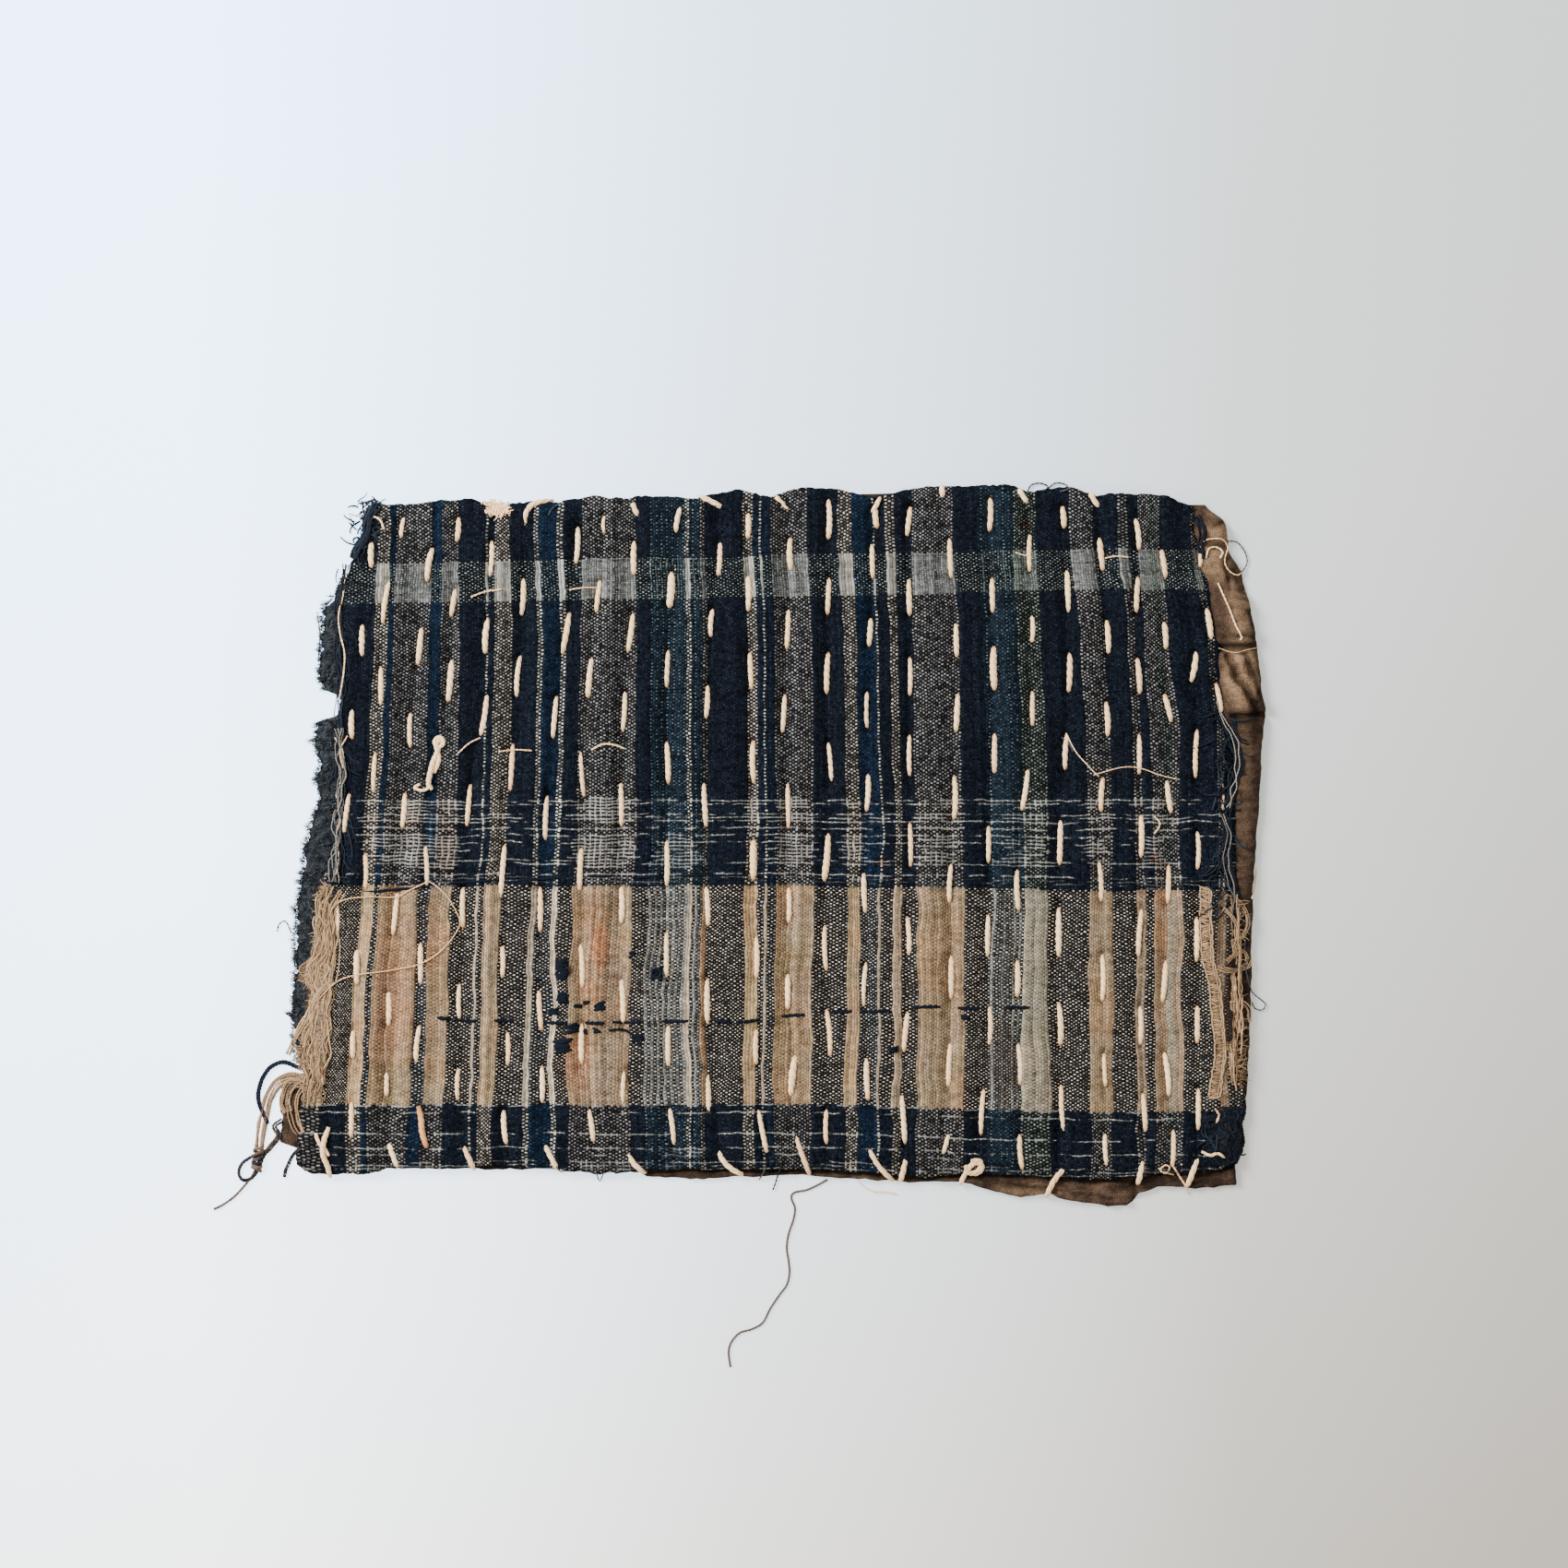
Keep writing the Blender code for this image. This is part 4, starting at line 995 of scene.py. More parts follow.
def brown_backing():
    """The whole backing as one mesh: the flat part, then its edge turned over into a soft tube."""
    flat_columns, roll_columns = 150, 36
    down = np.concatenate([np.linspace(0.0, 0.96, 420), np.linspace(0.963, 1.0, 24)])
    hidden_right = [(y, read(FACE_RIGHT, y) - 5) for y in range(540, 1300, 10)]
    across = np.linspace(0, 1, flat_columns)
    px, py = settled_grid(BACKING_LEFT, hidden_right, BACKING_TOP, BACKING_BOTTOM, across, down)
    below = py - read(FACE_BOTTOM, px)
    ripple = smooth(below / 5.0)
    z = (0.0009 + ripple * (0.0010 + 0.0008 * wander(px, py * 0.35, 8.0, 51)
                            + 0.0004 * wander(px, py, 3.5, 52)))
    flap = smooth((345 - px) / 10) * smooth((py - 1160) / 8)
    z = z + flap * (0.0005 + 0.0005 * wander(px, py, 8.0, 55))
    waves = np.sin(2 * math.pi * (py + 3.5 * wander(px, py * 0.4, 16.0, 58)) / 6.0) * ripple
    strip_folds = creased(px, py, BACKING_CREASES) * ripple
    z = z + strip_folds + 0.00010 * waves
    # Painted shade and light on the strip: darker in crease troughs and just below the face's edge, lighter
    # on ridges, light and dark across the ripples
    strip_painted_shade = (np.clip(-strip_folds / 0.0014, -0.15, 0.6) - 0.11 * waves
                  + 0.5 * np.exp(-(below / 6.0) ** 2))
    z[-1] = 0.0003
    z[:, 0] = 0.0003
    z[0] = 0.0004
    left_edge = np.exp(-(px - read(BACKING_LEFT, py)) / 4.0) * smooth((py - 1150) / 12)
    px = px + left_edge * (1.6 * wander(py, py, 5.0, 56) + 2.2 * wander(py, py, 16.0, 57))
    hem = smooth((down[:, None] - 0.972) / 0.028)
    py = py + hem * (1.0 * wander(px, px, 6.0, 53) + 1.0 * wander(px, px, 17.0, 54))

    edge_x, edge_y, edge_z = px[:, -1:], py[:, -1:], z[:, -1:]
    rounding = 1 - 0.5 * (1 - smooth((edge_y - 546) / 22)) - 0.25 * smooth((edge_y - 1262) / 22)
    wide = np.maximum((read(BACKING_RIGHT, edge_y) - edge_x) * rounding, 3.0)
    turn = np.linspace(0.0, 1.0, roll_columns + 1)[None, 1:]
    crumpled = smooth((800 - edge_y) / 40)
    height = (0.0013 * np.sqrt(wide * PX * 1000) - 0.0006) * (1 + 0.12 * wander(edge_y, edge_y, 30.0, 61))
    height = height * smooth((edge_y - 540) / 40) * (1 - 0.4 * smooth((edge_y - 1250) / 40))
    angle = np.pi * (1.0 - turn * 1.55)
    rx = edge_x + wide * (0.5 + 0.5 * np.cos(np.clip(angle, -0.55 * np.pi, np.pi)))
    rz = edge_z + height * np.where(angle > 0, np.sin(np.maximum(angle, 0)) ** 0.75, 0.0)
    rz = np.where(angle <= 0, edge_z * 0.35 + 0.0002 + 0.0003 * np.cos(angle), rz)
    ry = edge_y + np.zeros_like(turn)
    outer = np.clip(np.sin(np.clip(angle, 0, np.pi)), 0, 1)
    rz = (rz + outer * crumpled * (0.0010 * wander(rx * 0.5, ry, 12.0, 62)
                                   + 0.0004 * wander(rx, ry, 5.0, 66)))
    rings = np.sin(2 * math.pi * (ry + 3.0 * wander(rx * 0.6, ry, 14.0, 67)) / 10.5)
    rings = rings * (0.55 + 0.45 * wander(rx, ry, 18.0, 69))
    rz = rz + outer * (1 - 0.5 * crumpled) * (0.00034 * rings + 0.00022 * wander(rx * 0.3, ry, 7.0, 63))
    folds = creased(rx, ry, BACKING_CREASES) * np.where(angle > 0, 1.0, 0.0)
    rz = rz + folds
    # Painted shade and light on the roll: darker in crease troughs and between its rings, lighter on ridges
    backing_painted_shade = np.clip(-folds / 0.0014, -0.12, 0.62) - 0.14 * rings * outer * (1 - 0.5 * crumpled)
    # Painted shade on the roll next to the face's edge
    shade_beside_face = 0.42 * np.exp(-(turn * wide / 4.0) ** 2)
    backing_painted_shade = np.hstack([strip_painted_shade, backing_painted_shade + shade_beside_face])
    rx = rx + outer * crumpled * 2.4 * wander(ry, rx, 15.0, 64)
    rx = rx + (turn > 0.4) * (1.0 * wander(ry, ry, 22.0, 65) + 0.6 * wander(ry, ry, 7.0, 68))
    px, py, z = np.hstack([px, rx]), np.hstack([py, ry]), np.hstack([z, rz])
    z = np.maximum(z, 0.00015)
    material = plain_cloth_material("brown cotton", srgb(38, 29, 23), srgb(74, 57, 45), pitch=0.00056,
                                    fade_scale=170.0, pale=srgb(142, 114, 88))
    # The strip's lower part is made a little lighter
    low = smooth((py - 1262) / 12) * smooth((px - 420) / 60)
    made = put_cloth("brown_backing", px, py, z, material, faded=patches(px, py, FADED_BACKING),
                     dirty=np.clip(backing_painted_shade - 0.3 * low, -0.5, 0.8))
    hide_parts("backing_cloth")
    return made


def dark_fray():
    """Dark fibres that stand out of the dark layer's left edge in tufts, and lie matted on it."""
    random = np.random.default_rng(70)
    yarns = Yarns()
    tuft_y = 622.0
    while tuft_y < 1152:
        tuft_y += random.uniform(2.6, 6.0)
        if 753 < tuft_y < 777:
            continue
        heading = math.pi + random.normal(0.12, 0.25) + 0.5 * float(wander(tuft_y, tuft_y, 30.0, 72))
        reach = random.uniform(3.0, 8.5) * (1.5 if random.random() < 0.12 else 1.0)
        for _ in range(random.integers(12, 20)):
            share = np.linspace(0, 1, 5)
            angle = heading + random.normal(0, 0.22) + random.normal(0, 0.5) * share
            length = reach * random.uniform(0.5, 1.1)
            start_y = tuft_y + random.normal(0, 1.4)
            x, y = walk(read(DARK_LEFT, start_y) + random.uniform(0.5, 4.0), start_y, angle, length)
            z = np.linspace(random.uniform(0.0006, 0.0015), random.uniform(0.0002, 0.0012), 5)
            thick = random.uniform(0.00010, 0.00019)
            yarns.tube(spot(x, y, z), thick * (1 - 0.6 * share), 3, 0.7 * random.uniform(0, 1) ** 2)
    for _ in range(700):
        py = random.uniform(630, 1150)
        length = random.uniform(3.0, 9.0)
        share = np.linspace(0, 1, 5)
        angle = random.normal(math.pi, 0.5) + random.normal(0, 0.8) * share
        x, y = walk(read(DARK_LEFT, py) + random.uniform(7.0, 24.0), py, angle, length)
        x = np.minimum(x, read(FACE_LEFT, y) + 2)
        z = 0.0022 + 0.0004 * random.uniform(0, 1) + 0.0003 * np.sin(math.pi * share)
        z = np.where(x < read(DARK_LEFT, y) + 9, z - 0.0006, z)
        yarns.tube(spot(x, y, z), 0.00014 * (1 - 0.5 * share), 3, 0.8 * random.uniform(0, 1) ** 3)
    made = yarns.make("dark_fray", yarn_material("dark fibre", srgb(17, 20, 26), srgb(84, 88, 90)))
    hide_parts("dark_fringe_upper", "dark_fringe_lower")
    return made


# The raw tan edge at the left: y, then x of its outer and of its inner side
TAN_OUTER = table("""
    958 352, 975 346, 1000 344, 1036 342, 1047 331, 1062 330, 1075 339, 1100 336, 1130 326, 1145 324,
    1165 333, 1200 330""")
TAN_INNER = table("958 372, 990 367, 1080 361, 1160 355, 1200 351")


def tan_weft_ends():
    """Raw tan yarns along the face's left edge: wavy strands folded down it, clumps and loose ends."""
    random = np.random.default_rng(80)
    yarns = Yarns()
    for strand in range(130):
        start = random.uniform(958, 1130)
        end = min(start + random.uniform(35, 110), 1200)
        y = np.linspace(start, end, int((end - start) / 2.5) + 4)
        share = random.uniform(0.0, 1.0) + 0.18 * wander(y + 37 * strand, y, 30.0, 83)
        wave = random.uniform(0.5, 1.8) * np.sin(y / random.uniform(2.8, 6.0) + random.uniform(0, 6))
        x = read(TAN_OUTER, y) * (1 - share) + (read(TAN_INNER, y) - 1) * share + wave
        over = smooth((x - read(FACE_LEFT, y) + 3) / 6.0)
        z = (0.0030 + 0.0009 * over + 0.0007 * random.uniform(0, 1)
             + 0.0003 * wander(y, y + 30 * strand, 9.0, 82))
        yarns.tube(spot(x, y, z), random.uniform(0.00016, 0.00030), 4, random.uniform(0, 1) ** 1.3)
    for _ in range(420):
        py = random.uniform(960, 1165)
        if random.random() < 0.35:
            py = random.choice([random.normal(1056, 8), random.normal(1134, 7), random.normal(968, 6)])
        share = np.linspace(0, 1, 8)
        length = random.uniform(4, 13)
        heading = math.pi - random.uniform(-0.7, 1.1)
        angle = heading + random.normal(0, 1.2) * share
        x, y = walk(read(TAN_OUTER, py) + random.uniform(2, 14), py, angle, length)
        z = np.linspace(0.0044, random.uniform(0.0026, 0.0040), 8)
        yarns.tube(spot(x, y, z), 0.00016 * (1 - 0.5 * share), 3, random.uniform(0, 1))
    thick = table("362 1062, 350 1072, 340 1088, 330 1108, 320 1126, 312 1143")
    strands(yarns, random, thick, 6, 5.0, 0.00028, (0.0, 0.4), wave=0.8)
    strands(yarns, random, table("372 966, 362 985, 364 1010, 366 1040, 362 1064"), 4, 6.0, 0.00026,
            (0.0, 0.5))
    made = yarns.make("tan_weft_ends", yarn_material("tan yarn", srgb(170, 141, 108), srgb(102, 78, 56)))
    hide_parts("weft_fringe")
    return made


def strands(yarns, random, route, count, spread, radius, tints, wave=1.2, steps=40, lift=0.0004):
    """Several loose strands that follow one route side by side."""
    route = np.array(route, float)
    for strand in range(count):
        path = soft_path(route, steps)
        along = directions(path)
        side = np.stack([-along[:, 1], along[:, 0]], axis=-1)
        offset = (strand / max(count - 1, 1) - 0.5) * spread + random.normal(0, spread * 0.12)
        sway = wave * wander(np.arange(steps) + 77.0 * strand, np.zeros(steps), 6.0, 91)
        path = path + side * (offset + sway)[:, None]
        placed = lie(path, lift + random.uniform(0, 0.0004), steps)
        yarns.twist(placed, radius * random.uniform(0.8, 1.15), plies=2, pitch=0.0022, sides=4,
                    tint=random.uniform(*tints))


def corner_bundle():
    """The loose threads at the bottom left corner and their knot."""
    random = np.random.default_rng(90)
    yarns = Yarns()
    tan = table("342 1176, 330 1170, 314 1168, 300 1176, 290 1191, 286 1209, 283 1228, 281 1244")
    navy = table("""
        338 1161, 322 1157, 309 1152, 297 1155, 288 1164, 282 1178, 281 1192, 286 1206, 291 1218""")
    ragged = table("306 1214, 298 1221, 303 1231, 294 1242, 286 1252, 280 1264")
    loop = table("284 1248, 273 1254, 263 1261, 259 1271, 263 1279, 272 1278, 280 1268, 285 1254")
    tail = table("279 1264, 272 1277, 262 1289, 253 1298, 242 1306, 232 1311")
    inner = table("338 1170, 328 1176, 320 1188, 318 1202, 322 1216, 328 1228")
    strands(yarns, random, tan, 9, 12.0, 0.00042, (0.0, 0.45), wave=1.6)
    strands(yarns, random, table("336 1176, 324 1172, 312 1178, 308 1194, 312 1206"), 5, 9.0, 0.00034,
            (0.0, 0.5))
    strands(yarns, random, inner, 5, 11.0, 0.00034, (0.0, 0.5), wave=1.8)
    strands(yarns, random, navy, 3, 2.6, 0.00062, (0.92, 1.0), wave=0.3)
    strands(yarns, random, ragged, 4, 4.5, 0.00040, (0.62, 0.95), wave=1.0)
    strands(yarns, random, loop, 2, 1.6, 0.00052, (0.75, 0.95), wave=0.4)
    strands(yarns, random, tail, 2, 0.9, 0.00036, (0.6, 0.9), wave=0.3)
    strands(yarns, random, table("327 1243, 317 1253, 311 1265, 308 1276"), 3, 2.2, 0.00026, (0.7, 0.95),
            wave=0.5)
    for turn in range(6):
        angle = np.linspace(0, 2 * math.pi, 16)
        middle = spot(281 - turn * 0.5, 1247 + turn * 4.0, 0.0011)
        ring = np.stack([0.0014 * np.cos(angle), 0.0007 * np.sin(angle + turn), 0.0009 * np.sin(angle)],
                        axis=-1)
        yarns.tube(middle + ring, 0.00056, 6, 0.62 + 0.09 * (turn % 4))
    made = yarns.make("corner_bundle", yarn_material("bundle yarn", srgb(160, 128, 96), srgb(20, 26, 36)))
    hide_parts("corner_threads")
    return made


def right_edge_yarns():
    """Raw tan yarns along the right edge of the tan band: short wefts like a ladder, strands and curls."""
    random = np.random.default_rng(100)
    yarns = Yarns()
    ladder = table("960 1305, 1000 1305, 1040 1307, 1065 1314, 1100 1317, 1140 1321, 1190 1314")
    for y in np.arange(962, 1190, 1.25):
        middle = read(ladder, y) + random.normal(0, 1.2)
        reach = random.uniform(3.0, 6.8)
        share = np.linspace(-1, 1, 7)
        x = middle + reach * share
        bend = random.normal(0, 1.0) * share + random.uniform(-1.6, 0.6) * share ** 2
        z = cloth_z(x, y + 0 * x) + 0.0002 + 0.0005 * random.uniform(0, 1) * (1 - share ** 2)
        yarns.tube(spot(x, y + bend, z), 0.00024 * (1 - 0.3 * share ** 2), 4, random.uniform(0, 0.9))
    for side in (-5.0, 4.5, 6.5):
        y = np.linspace(962, 1188, 110)
        x = read(ladder, y) + side + 0.9 * wander(y, y + side * 9, 5.0, 103)
        z = cloth_z(x, y) + 0.0004
        yarns.tube(spot(x, y, z), 0.00028, 4, random.uniform(0, 0.3))
    for strand in range(34):
        start = random.uniform(968, 1100)
        end = min(start + random.uniform(40, 110), 1200)
        y = np.linspace(start, end, 34)
        x = np.interp(y, [970, 1060, 1200], [1329, 1332, 1338]) + random.uniform(-10, 12)
        x = x + 1.6 * wander(y + 50 * strand, y, 10.0, 101)
        z = 0.0042 + 0.0006 * random.uniform(0, 1) + 0.0003 * wander(y, y + 60 * strand, 10.0, 102)
        yarns.tube(spot(x, y, z), random.uniform(0.00017, 0.00030), 4, random.uniform(0, 1))
    for _ in range(300):
        low = random.random() < 0.65
        py = random.uniform(1082, 1176) if low else random.uniform(970, 1054)
        share = np.linspace(0, 1, 8)
        length = random.uniform(5, 16)
        angle = random.normal(0.0, 0.45) + random.normal(0, 0.8 if low else 2.0) * share
        x, y = walk(random.uniform(1326, 1342), py, angle, length)
        z = 0.0044 + 0.0005 * random.uniform(-1, 1) - 0.0006 * share
        yarns.tube(spot(x, y, z), 0.00017 * (1 - 0.4 * share), 3, random.uniform(0, 1))
    for route in (
        table("1326 972, 1338 974, 1347 984, 1351 1000, 1346 1014, 1334 1020"),
        table("1328 1042, 1342 1030, 1350 1037, 1343 1050, 1328 1050, 1322 1044"),
        table("1318 1048, 1334 1052, 1350 1048, 1355 1038"),
        table("1324 985, 1334 994, 1340 1010, 1336 1028, 1344 1038"),
        table("1332 1088, 1344 1086, 1352 1094, 1354 1108"),
    ):
        strands(yarns, random, route, 3, 3.5, 0.00022, (0.0, 0.7), wave=1.0)
    made = yarns.make("right_edge_yarns", bpy.data.materials["tan yarn"])
    return made


# Loose threads: radius in millimetres, then the places that each passes
CREAM_THREADS = threads("""
    0.24: 360 985, 375 975, 400 972, 430 972, 445 965, 460 958, 468 956, 485 970, 497 990, 499 1005,
    480 1030, 455 1045, 420 1052, 385 1057, 365 1065, 345 1085, 325 1110, 312 1140; 0.30: 512 648,
    528 642, 545 640; 0.24: 618 640, 634 638, 648 638; 0.36: 642 813, 655 807, 668 808, 678 812;
    0.24: 498 817, 510 806, 522 800; 0.28: 542 815, 560 813, 578 814; 0.20: 1155 795, 1165 815, 1180 832,
    1190 842; 0.20: 1185 840, 1215 832, 1235 833, 1255 840, 1275 845; 0.22: 1100 600, 1110 603, 1117 601;
    0.24: 1197 606, 1208 604, 1222 605; 0.24: 1299 597, 1303 588, 1313 585, 1324 586, 1330 594, 1327 604,
    1327 612, 1332 620, 1341 624, 1347 619; 0.30: 1306 606, 1309 596, 1317 594, 1324 599, 1321 606;
    0.30: 1319 633, 1325 648, 1332 664, 1338 680, 1344 692, 1342 694; 0.26: 1362 942, 1361 955, 1359 966,
    1356 974; 0.30: 378 557, 386 559, 396 560; 0.40: 407 561, 414 565, 418 575; 0.26: 930 1281, 945 1291,
    960 1292, 972 1294; 0.30: 1255 1265, 1262 1271, 1267 1265, 1262 1262, 1257 1268, 1272 1273;
    0.34: 1270 1262, 1277 1273, 1284 1284, 1288 1294; 0.26: 364 800, 372 812, 376 830; 0.26: 378 798,
    370 815, 374 836, 370 850; 0.12: 1320 703, 1336 708, 1350 705, 1364 702; 0.30: 378 612, 375 632,
    372 650, 368 668, 370 688, 375 708, 374 730, 369 760; 0.22: 366 862, 370 885, 366 905, 369 930,
    364 955; 0.26: 1250 885, 1256 893, 1250 904""")
DARK_THREADS = threads("""
    0.26: 1331 587, 1341 588, 1349 598, 1352 609, 1348 618, 1344 621; 0.26: 1355 990, 1350 1010,
    1348 1035, 1351 1058, 1357 1075, 1366 1083, 1372 1089, 1368 1095, 1360 1093, 1357 1086;
    0.24: 1344 1002, 1350 996, 1356 990; 0.24: 1322 1050, 1338 1049, 1352 1040; 0.30: 1114 533, 1118 526,
    1128 524, 1136 528, 1130 534; 0.30: 1136 530, 1144 524, 1154 525, 1157 531, 1148 534; 0.30: 847 1262,
    844 1272, 841 1282, 838 1290; 0.26: 830 1262, 828 1270, 823 1279; 0.26: 1245 1270, 1262 1268,
    1280 1272; 0.30: 402 552, 399 546, 404 542; 0.30: 406 550, 408 543, 414 546; 0.30: 398 556, 393 552,
    397 548; 0.26: 316 1011, 310 999, 303 1002, 301 1010; 0.24: 344 664, 347 690, 345 716;
    0.26: 604 1264, 609 1270, 614 1266; 0.26: 646 1266, 650 1280, 655 1270; 0.24: 612 544, 600 552,
    596 560; 0.24: 1150 800, 1158 806, 1162 815""")


def loose_ends():
    """Short threads that lie on the cloth, each in its own curve."""
    pieces = []
    for name, rows, material, slot in (
        ("cream_ends", CREAM_THREADS, "cream thread", "cream_thread"),
        ("dark_ends", DARK_THREADS, "dark fibre", "dark_cotton"),
    ):
        random = np.random.default_rng(110)
        yarns = Yarns()
        for radius, route in rows:
            count = max(14, 5 * len(route))
            yarns.twist(lie(route, 0.0006, count), radius * 0.001, plies=2, pitch=0.0030, sides=5,
                        tint=random.uniform(0.0, 0.6))
        made = yarns.make(name, bpy.data.materials[material])
        pieces.append(made)
    return pieces


def curls(yarns, random, count, box, length, radius, tints, bend=1.5, heading=None):
    """Short loose yarns scattered over a box of pixels x0, y0, x1, y1, each in its own bend."""
    for _ in range(count):
        share = np.linspace(0, 1, 9)
        start = random.uniform(0, 2 * math.pi) if heading is None else random.normal(heading, 0.5)
        angle = start + random.normal(0, bend) * share + random.normal(0, bend) * share ** 2
        reach = random.uniform(*length)
        x, y = walk(random.uniform(box[0], box[2]), random.uniform(box[1], box[3]), angle, reach)
        path = lie(np.stack([x, y], axis=-1), radius + random.uniform(0, 0.0004), 9, settle=1)
        yarns.tube(path, radius * random.uniform(0.7, 1.2) * (1 - 0.4 * share ** 2), 4,
                   random.uniform(*tints))


def navy_yarns():
    """Unravelled dark yarns along the edges and the rag ends at two corners."""
    random = np.random.default_rng(120)
    yarns = Yarns()
    right = table("""
        1316 762, 1326 782, 1335 802, 1340 826, 1337 850, 1331 876, 1329 905, 1332 938, 1338 968,
        1341 992""")
    strands(yarns, random, right, 5, 6.0, 0.00044, (0.0, 0.3), wave=3.2, steps=80)
    strands(yarns, random, right[:6], 2, 4.0, 0.00022, (1.8, 2.6), wave=3.0, steps=60, lift=0.0008)
    strands(yarns, random, table("1322 884, 1332 905, 1326 930, 1334 958, 1340 985"), 2, 5.0, 0.00020,
            (1.4, 2.4), wave=3.0, steps=50, lift=0.0008)
    curls(yarns, random, 80, (1316, 770, 1340, 990), (12, 36), 0.00030, (0.0, 0.9), bend=0.8,
          heading=math.pi / 2)
    for text in (
        "1334 1203, 1339 1220, 1340 1240, 1333 1258", "1306 1216, 1322 1210, 1338 1206, 1348 1207",
        "1310 1240, 1320 1228, 1334 1230, 1341 1246", "1316 1252, 1326 1258, 1338 1254, 1344 1240",
        "1326 1206, 1322 1222, 1330 1238, 1326 1254",
    ):
        strands(yarns, random, table(text), 3, 7.0, 0.0010, (0.0, 0.12), wave=2.0, lift=-0.0004)
    curls(yarns, random, 40, (1310, 1204, 1342, 1258), (8, 22), 0.00030, (0.0, 0.7))
    strands(yarns, random, table("410 549, 402 562, 397 578, 390 592, 383 606"), 5, 8.0, 0.0006, (0.0, 0.5),
            wave=2.0)
    curls(yarns, random, 60, (386, 546, 412, 604), (8, 22), 0.00028, (0.0, 0.8))
    curls(yarns, random, 12, (394, 546, 412, 552), (7, 13), 0.00030, (0.0, 0.3), bend=1.0,
          heading=-math.pi / 2)
    curls(yarns, random, 60, (364, 610, 378, 952), (14, 44), 0.00022, (0.0, 0.7), bend=0.7,
          heading=math.pi / 2)
    left = table("376 612, 369 650, 367 700, 372 742, 368 790, 371 840, 367 900, 363 956")
    strands(yarns, random, left, 5, 5.0, 0.00026, (0.1, 1.5), wave=4.0, steps=110)
    strands(yarns, random, left[4:], 5, 6.0, 0.00024, (1.4, 2.6), wave=4.5, steps=80, lift=0.0006)
    strands(yarns, random, table("1296 560, 1303 576, 1300 592, 1304 606"), 4, 5.0, 0.00036, (0.0, 0.3),
            wave=2.0)
    material = yarn_material("navy yarn", srgb(12, 15, 22), srgb(38, 44, 53), far=srgb(170, 158, 140))
    made = yarns.make("navy_yarns", material)
    return made


def knots():
    """The cream thread's knots and fat ends on the face and over its edges."""
    random = np.random.default_rng(130)
    yarns = Yarns()
    routes = threads("""
    0.9: 481 803, 474 806, 476 814, 471 826, 468 838, 466 850, 470 856; 0.8: 476 812, 482 806, 479 800,
    473 803, 475 812, 477 824, 472 838; 0.5: 470 852, 460 857, 451 854, 457 850; 0.9: 1040 1284,
    1046 1272, 1052 1262, 1060 1259, 1064 1265, 1058 1271, 1050 1269; 0.9: 1046 1262, 1050 1270,
    1060 1268, 1062 1258, 1052 1257; 0.9: 358 1221, 353 1236, 352 1250, 357 1264, 359 1276;
    0.6: 344 1227, 348 1238, 355 1246, 358 1252; 0.5: 1301 1247, 1310 1251, 1318 1249, 1326 1253;
    0.4: 1316 1201, 1320 1208, 1317 1216""")
    for radius, route in routes:
        path = lie(route, radius * 0.0006 + 0.0002, 34)
        share = np.linspace(-1, 1, len(path))
        yarns.twist(path, radius * 0.001 * (1 - 0.35 * share ** 6), pitch=0.0055, sides=6,
                    tint=random.uniform(0.1, 0.5))
    curls(yarns, random, 130, (530, 546, 550, 558), (4, 12), 0.00022, (0.0, 0.5), bend=2.5)
    made = yarns.make("knots", bpy.data.materials["cream thread"])
    return made


def orange_stitch():
    """The one stitch in an orange thread, low on the left."""
    yarns = Yarns()
    path = lie(table("455 1198, 458 1212, 459 1226, 464 1243"), 0.0006, 24)
    ends = np.abs(np.linspace(-1, 1, 24))
    # The ends turn to the second colour: painted shade where the thread goes down into the cloth
    yarns.twist(path, STITCH_RADIUS * 1.1 * (1 - 0.3 * ends ** 4), pitch=0.006, tint=0.2 + 0.6 * ends ** 4)
    made = yarns.make("orange_stitch",
                      yarn_material("orange thread", srgb(226, 168, 118), srgb(150, 88, 48)))
    return made


# Dark darning on the tan band: x and y of the middle, half width and half height, number of threads
DARNS = table("""
    610 1050 7 11 9, 611 1081 6 6 5, 621 1114 7 6 5, 611 1133 10 8 8, 627 1090 4 2 2, 637 1086 3 2 2,
    651 1090 6 4 4, 633 1118 5 2 2, 648 1117 4 2 2, 693 1125 5 5 4, 602 1096 5 4 3, 686 1034 3 3 2,
    968 1137 5 3 3, 712 1054 6 6 4, 1046 1102 5 3 3""")


def darning():
    """Dark darns on the tan band: blots of navy thread, one with a ring, and a curved stitch."""
    random = np.random.default_rng(140)
    yarns = Yarns()
    for x, y, wide, tall, count in DARNS:
        for thread in range(int(count)):
            height = (y + (thread / max(count - 1, 1) * 2 - 1) * (tall - 1.5) * (count > 1)
                      + random.normal(0, 0.6))
            reach = wide * random.uniform(0.65, 1.05)
            lean = random.normal(0, 1.2)
            path = lie([(x - reach, height - lean), (x, height + random.normal(0, 0.5)),
                        (x + reach, height + lean)], 0.0002, 9)
            path[:, 2] -= 0.0006 * np.abs(np.linspace(-1, 1, 9)) ** 4
            yarns.tube(path, 0.00055, 5, random.uniform(0, 0.15))
    angle = np.linspace(0, 2 * math.pi, 20)
    yarns.tube(lie(np.stack([712 + 5 * np.cos(angle), 1054 + 5 * np.sin(angle)], axis=-1), 0.0006, 20),
               0.0004, 5, 0.6)
    strands(yarns, random, table("661 1116, 672 1115, 682 1118, 690 1124"), 1, 0.0, 0.00050, (0.0, 0.2),
            wave=0.4)
    made = yarns.make("darning", bpy.data.materials["navy thread"])
    return made


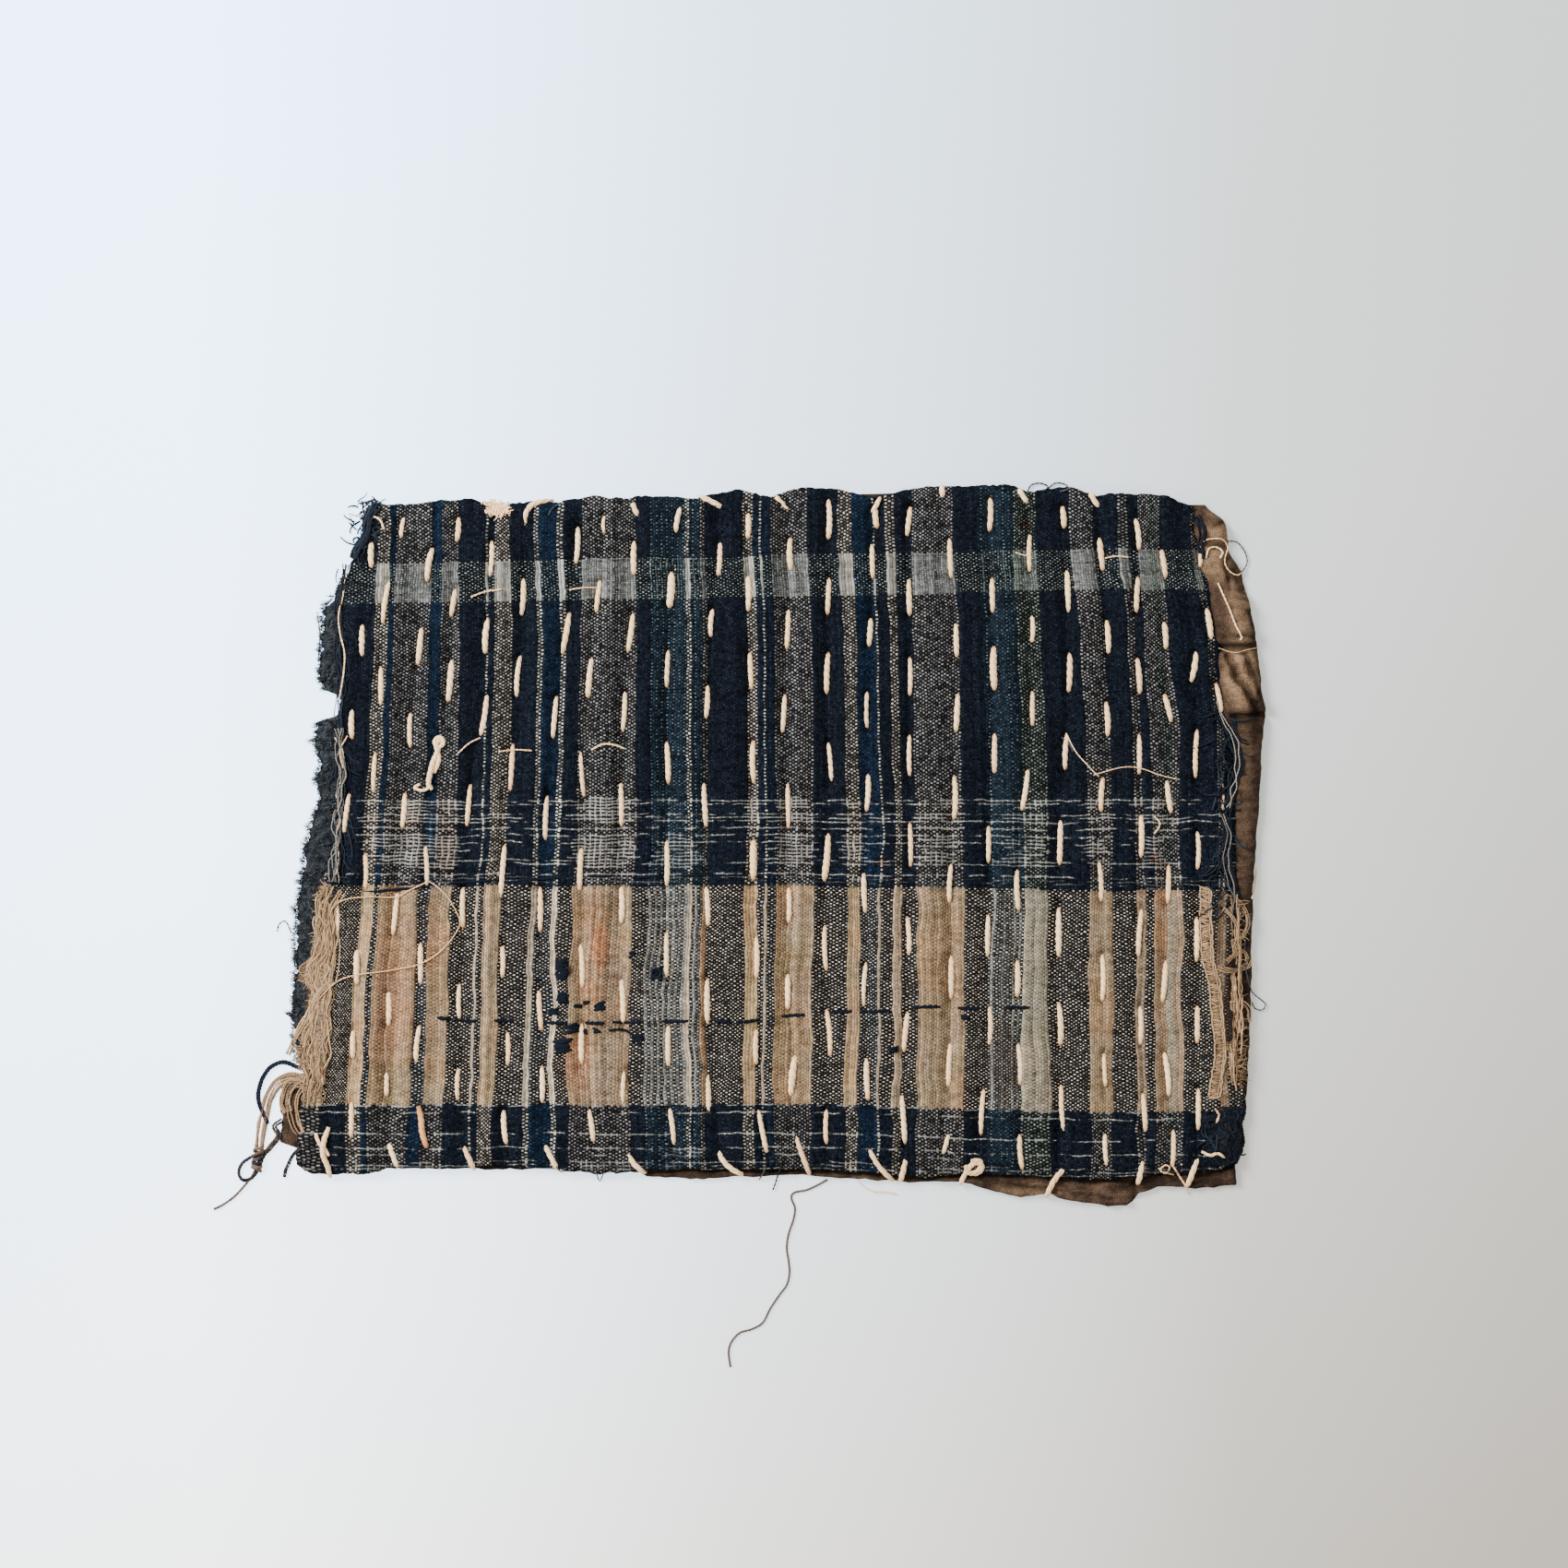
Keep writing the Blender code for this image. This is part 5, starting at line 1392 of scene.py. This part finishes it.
def loose_thread():
    """The long thread below the bottom edge: a cord of three fine plies."""
    route = soft_path(spot(*np.array(THREAD_ROUTE, float).T, THREAD_DIAMETER / 2), 110)
    yarns = Yarns()
    yarns.twist(route, THREAD_DIAMETER * 0.6, plies=3, pitch=0.0035, sides=5, tint=0.4, flat=1.0)
    made = yarns.make("loose_thread", yarn_material("grey thread", srgb(104, 90, 80), srgb(52, 46, 46)))
    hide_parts("hanging_thread")
    return made


def floor():
    """A pale glowing surface, brightest on the left and cooler at the top, as in the photograph."""
    bpy.ops.mesh.primitive_plane_add(size=FLOOR_SIZE, location=(0, 0, 0))
    made = bpy.context.object
    made.name = "pale_surface"
    s = Shade("pale surface", roughness=0.8, specular=0.1)
    x, y, _ = s.split(s.position())
    share = s.linear(x, FLOOR_SHARE, 0.5)
    # Painted light: the surface glows, strongest on the left where the window's light falls
    painted_glow, _ = s.ramp(share, [(0.0, (0.42, 0.60, 0.84, 1.0)), (0.15, (0.46, 0.62, 0.82, 1.0)),
                             (0.5, (0.19, 0.24, 0.30, 1.0)), (0.82, (0.05, 0.055, 0.05, 1.0)),
                             (1.0, (0.03, 0.03, 0.025, 1.0))])
    # The painted light's colour: warm towards the bottom, cool blue towards the top
    height = s.linear(y, FLOOR_SHARE, 0.5)
    tint, _ = s.ramp(height, [(0.0, (0.83, 0.62, 0.45, 1.0)), (0.5, (0.83, 0.83, 0.83, 1.0)),
                              (1.0, (0.62, 0.85, 1.0, 1.0))])
    link_or_set(s.tree, s.mix(1.0, painted_glow, tint, "MULTIPLY"), s.shader.inputs["Emission Color"])
    s.shader.inputs["Emission Strength"].default_value = FLOOR_PAINTED_GLOW
    # The surface's own colour, darker towards the lower right
    corner = share - height
    base, _ = s.ramp(s.linear(corner, 0.5, 0.5),
                     [(0.0, srgb(186, 190, 194)), (0.6, srgb(186, 186, 185)), (1.0, srgb(156, 152, 146))])
    made.data.materials.append(s.finish(base))


def camera():
    """Straight above, framing what the photograph frames."""
    data = bpy.data.cameras.new("camera")
    data.sensor_width = SENSOR
    data.lens = SENSOR * CAMERA_HEIGHT / PICTURE_SPAN
    made = bpy.data.objects.new("camera", data)
    made.location = spot(MIDDLE, MIDDLE, CAMERA_HEIGHT).tolist()
    bpy.context.scene.collection.objects.link(made)
    bpy.context.scene.camera = made


def lights():
    """A broad window light from the upper left over an even sky."""
    data = bpy.data.lights.new("window", "AREA")
    data.energy = WINDOW_POWER
    data.color = (0.96, 0.98, 1.0)
    data.size = WINDOW_SIZE
    window = bpy.data.objects.new("window", data)
    window.location = WINDOW_PLACE
    window.rotation_euler = (-Vector(WINDOW_PLACE)).to_track_quat("-Z", "Y").to_euler()
    bpy.context.scene.collection.objects.link(window)
    world = bpy.data.worlds.new("even sky")
    world.use_nodes = True
    sky = world.node_tree.nodes["Background"]
    sky.inputs["Color"].default_value = (1.0, 0.985, 0.965, 1.0)
    sky.inputs["Strength"].default_value = SKY_STRENGTH
    bpy.context.scene.world = world


camera()
lights()
floor()
loose_thread()
face = check_face()
under = dark_under_layer()
backing = brown_backing()
add_ground(face, under, backing)
fray = dark_fray()
weft_ends = tan_weft_ends()
corner_bundle()
stitches = stitching()
whips = whip_stitches()
mends = mending()
right_yarns = right_edge_yarns()
knotted = knots()
orange = orange_stitch()
darns = darning()
navy = navy_yarns()
ends = loose_ends()
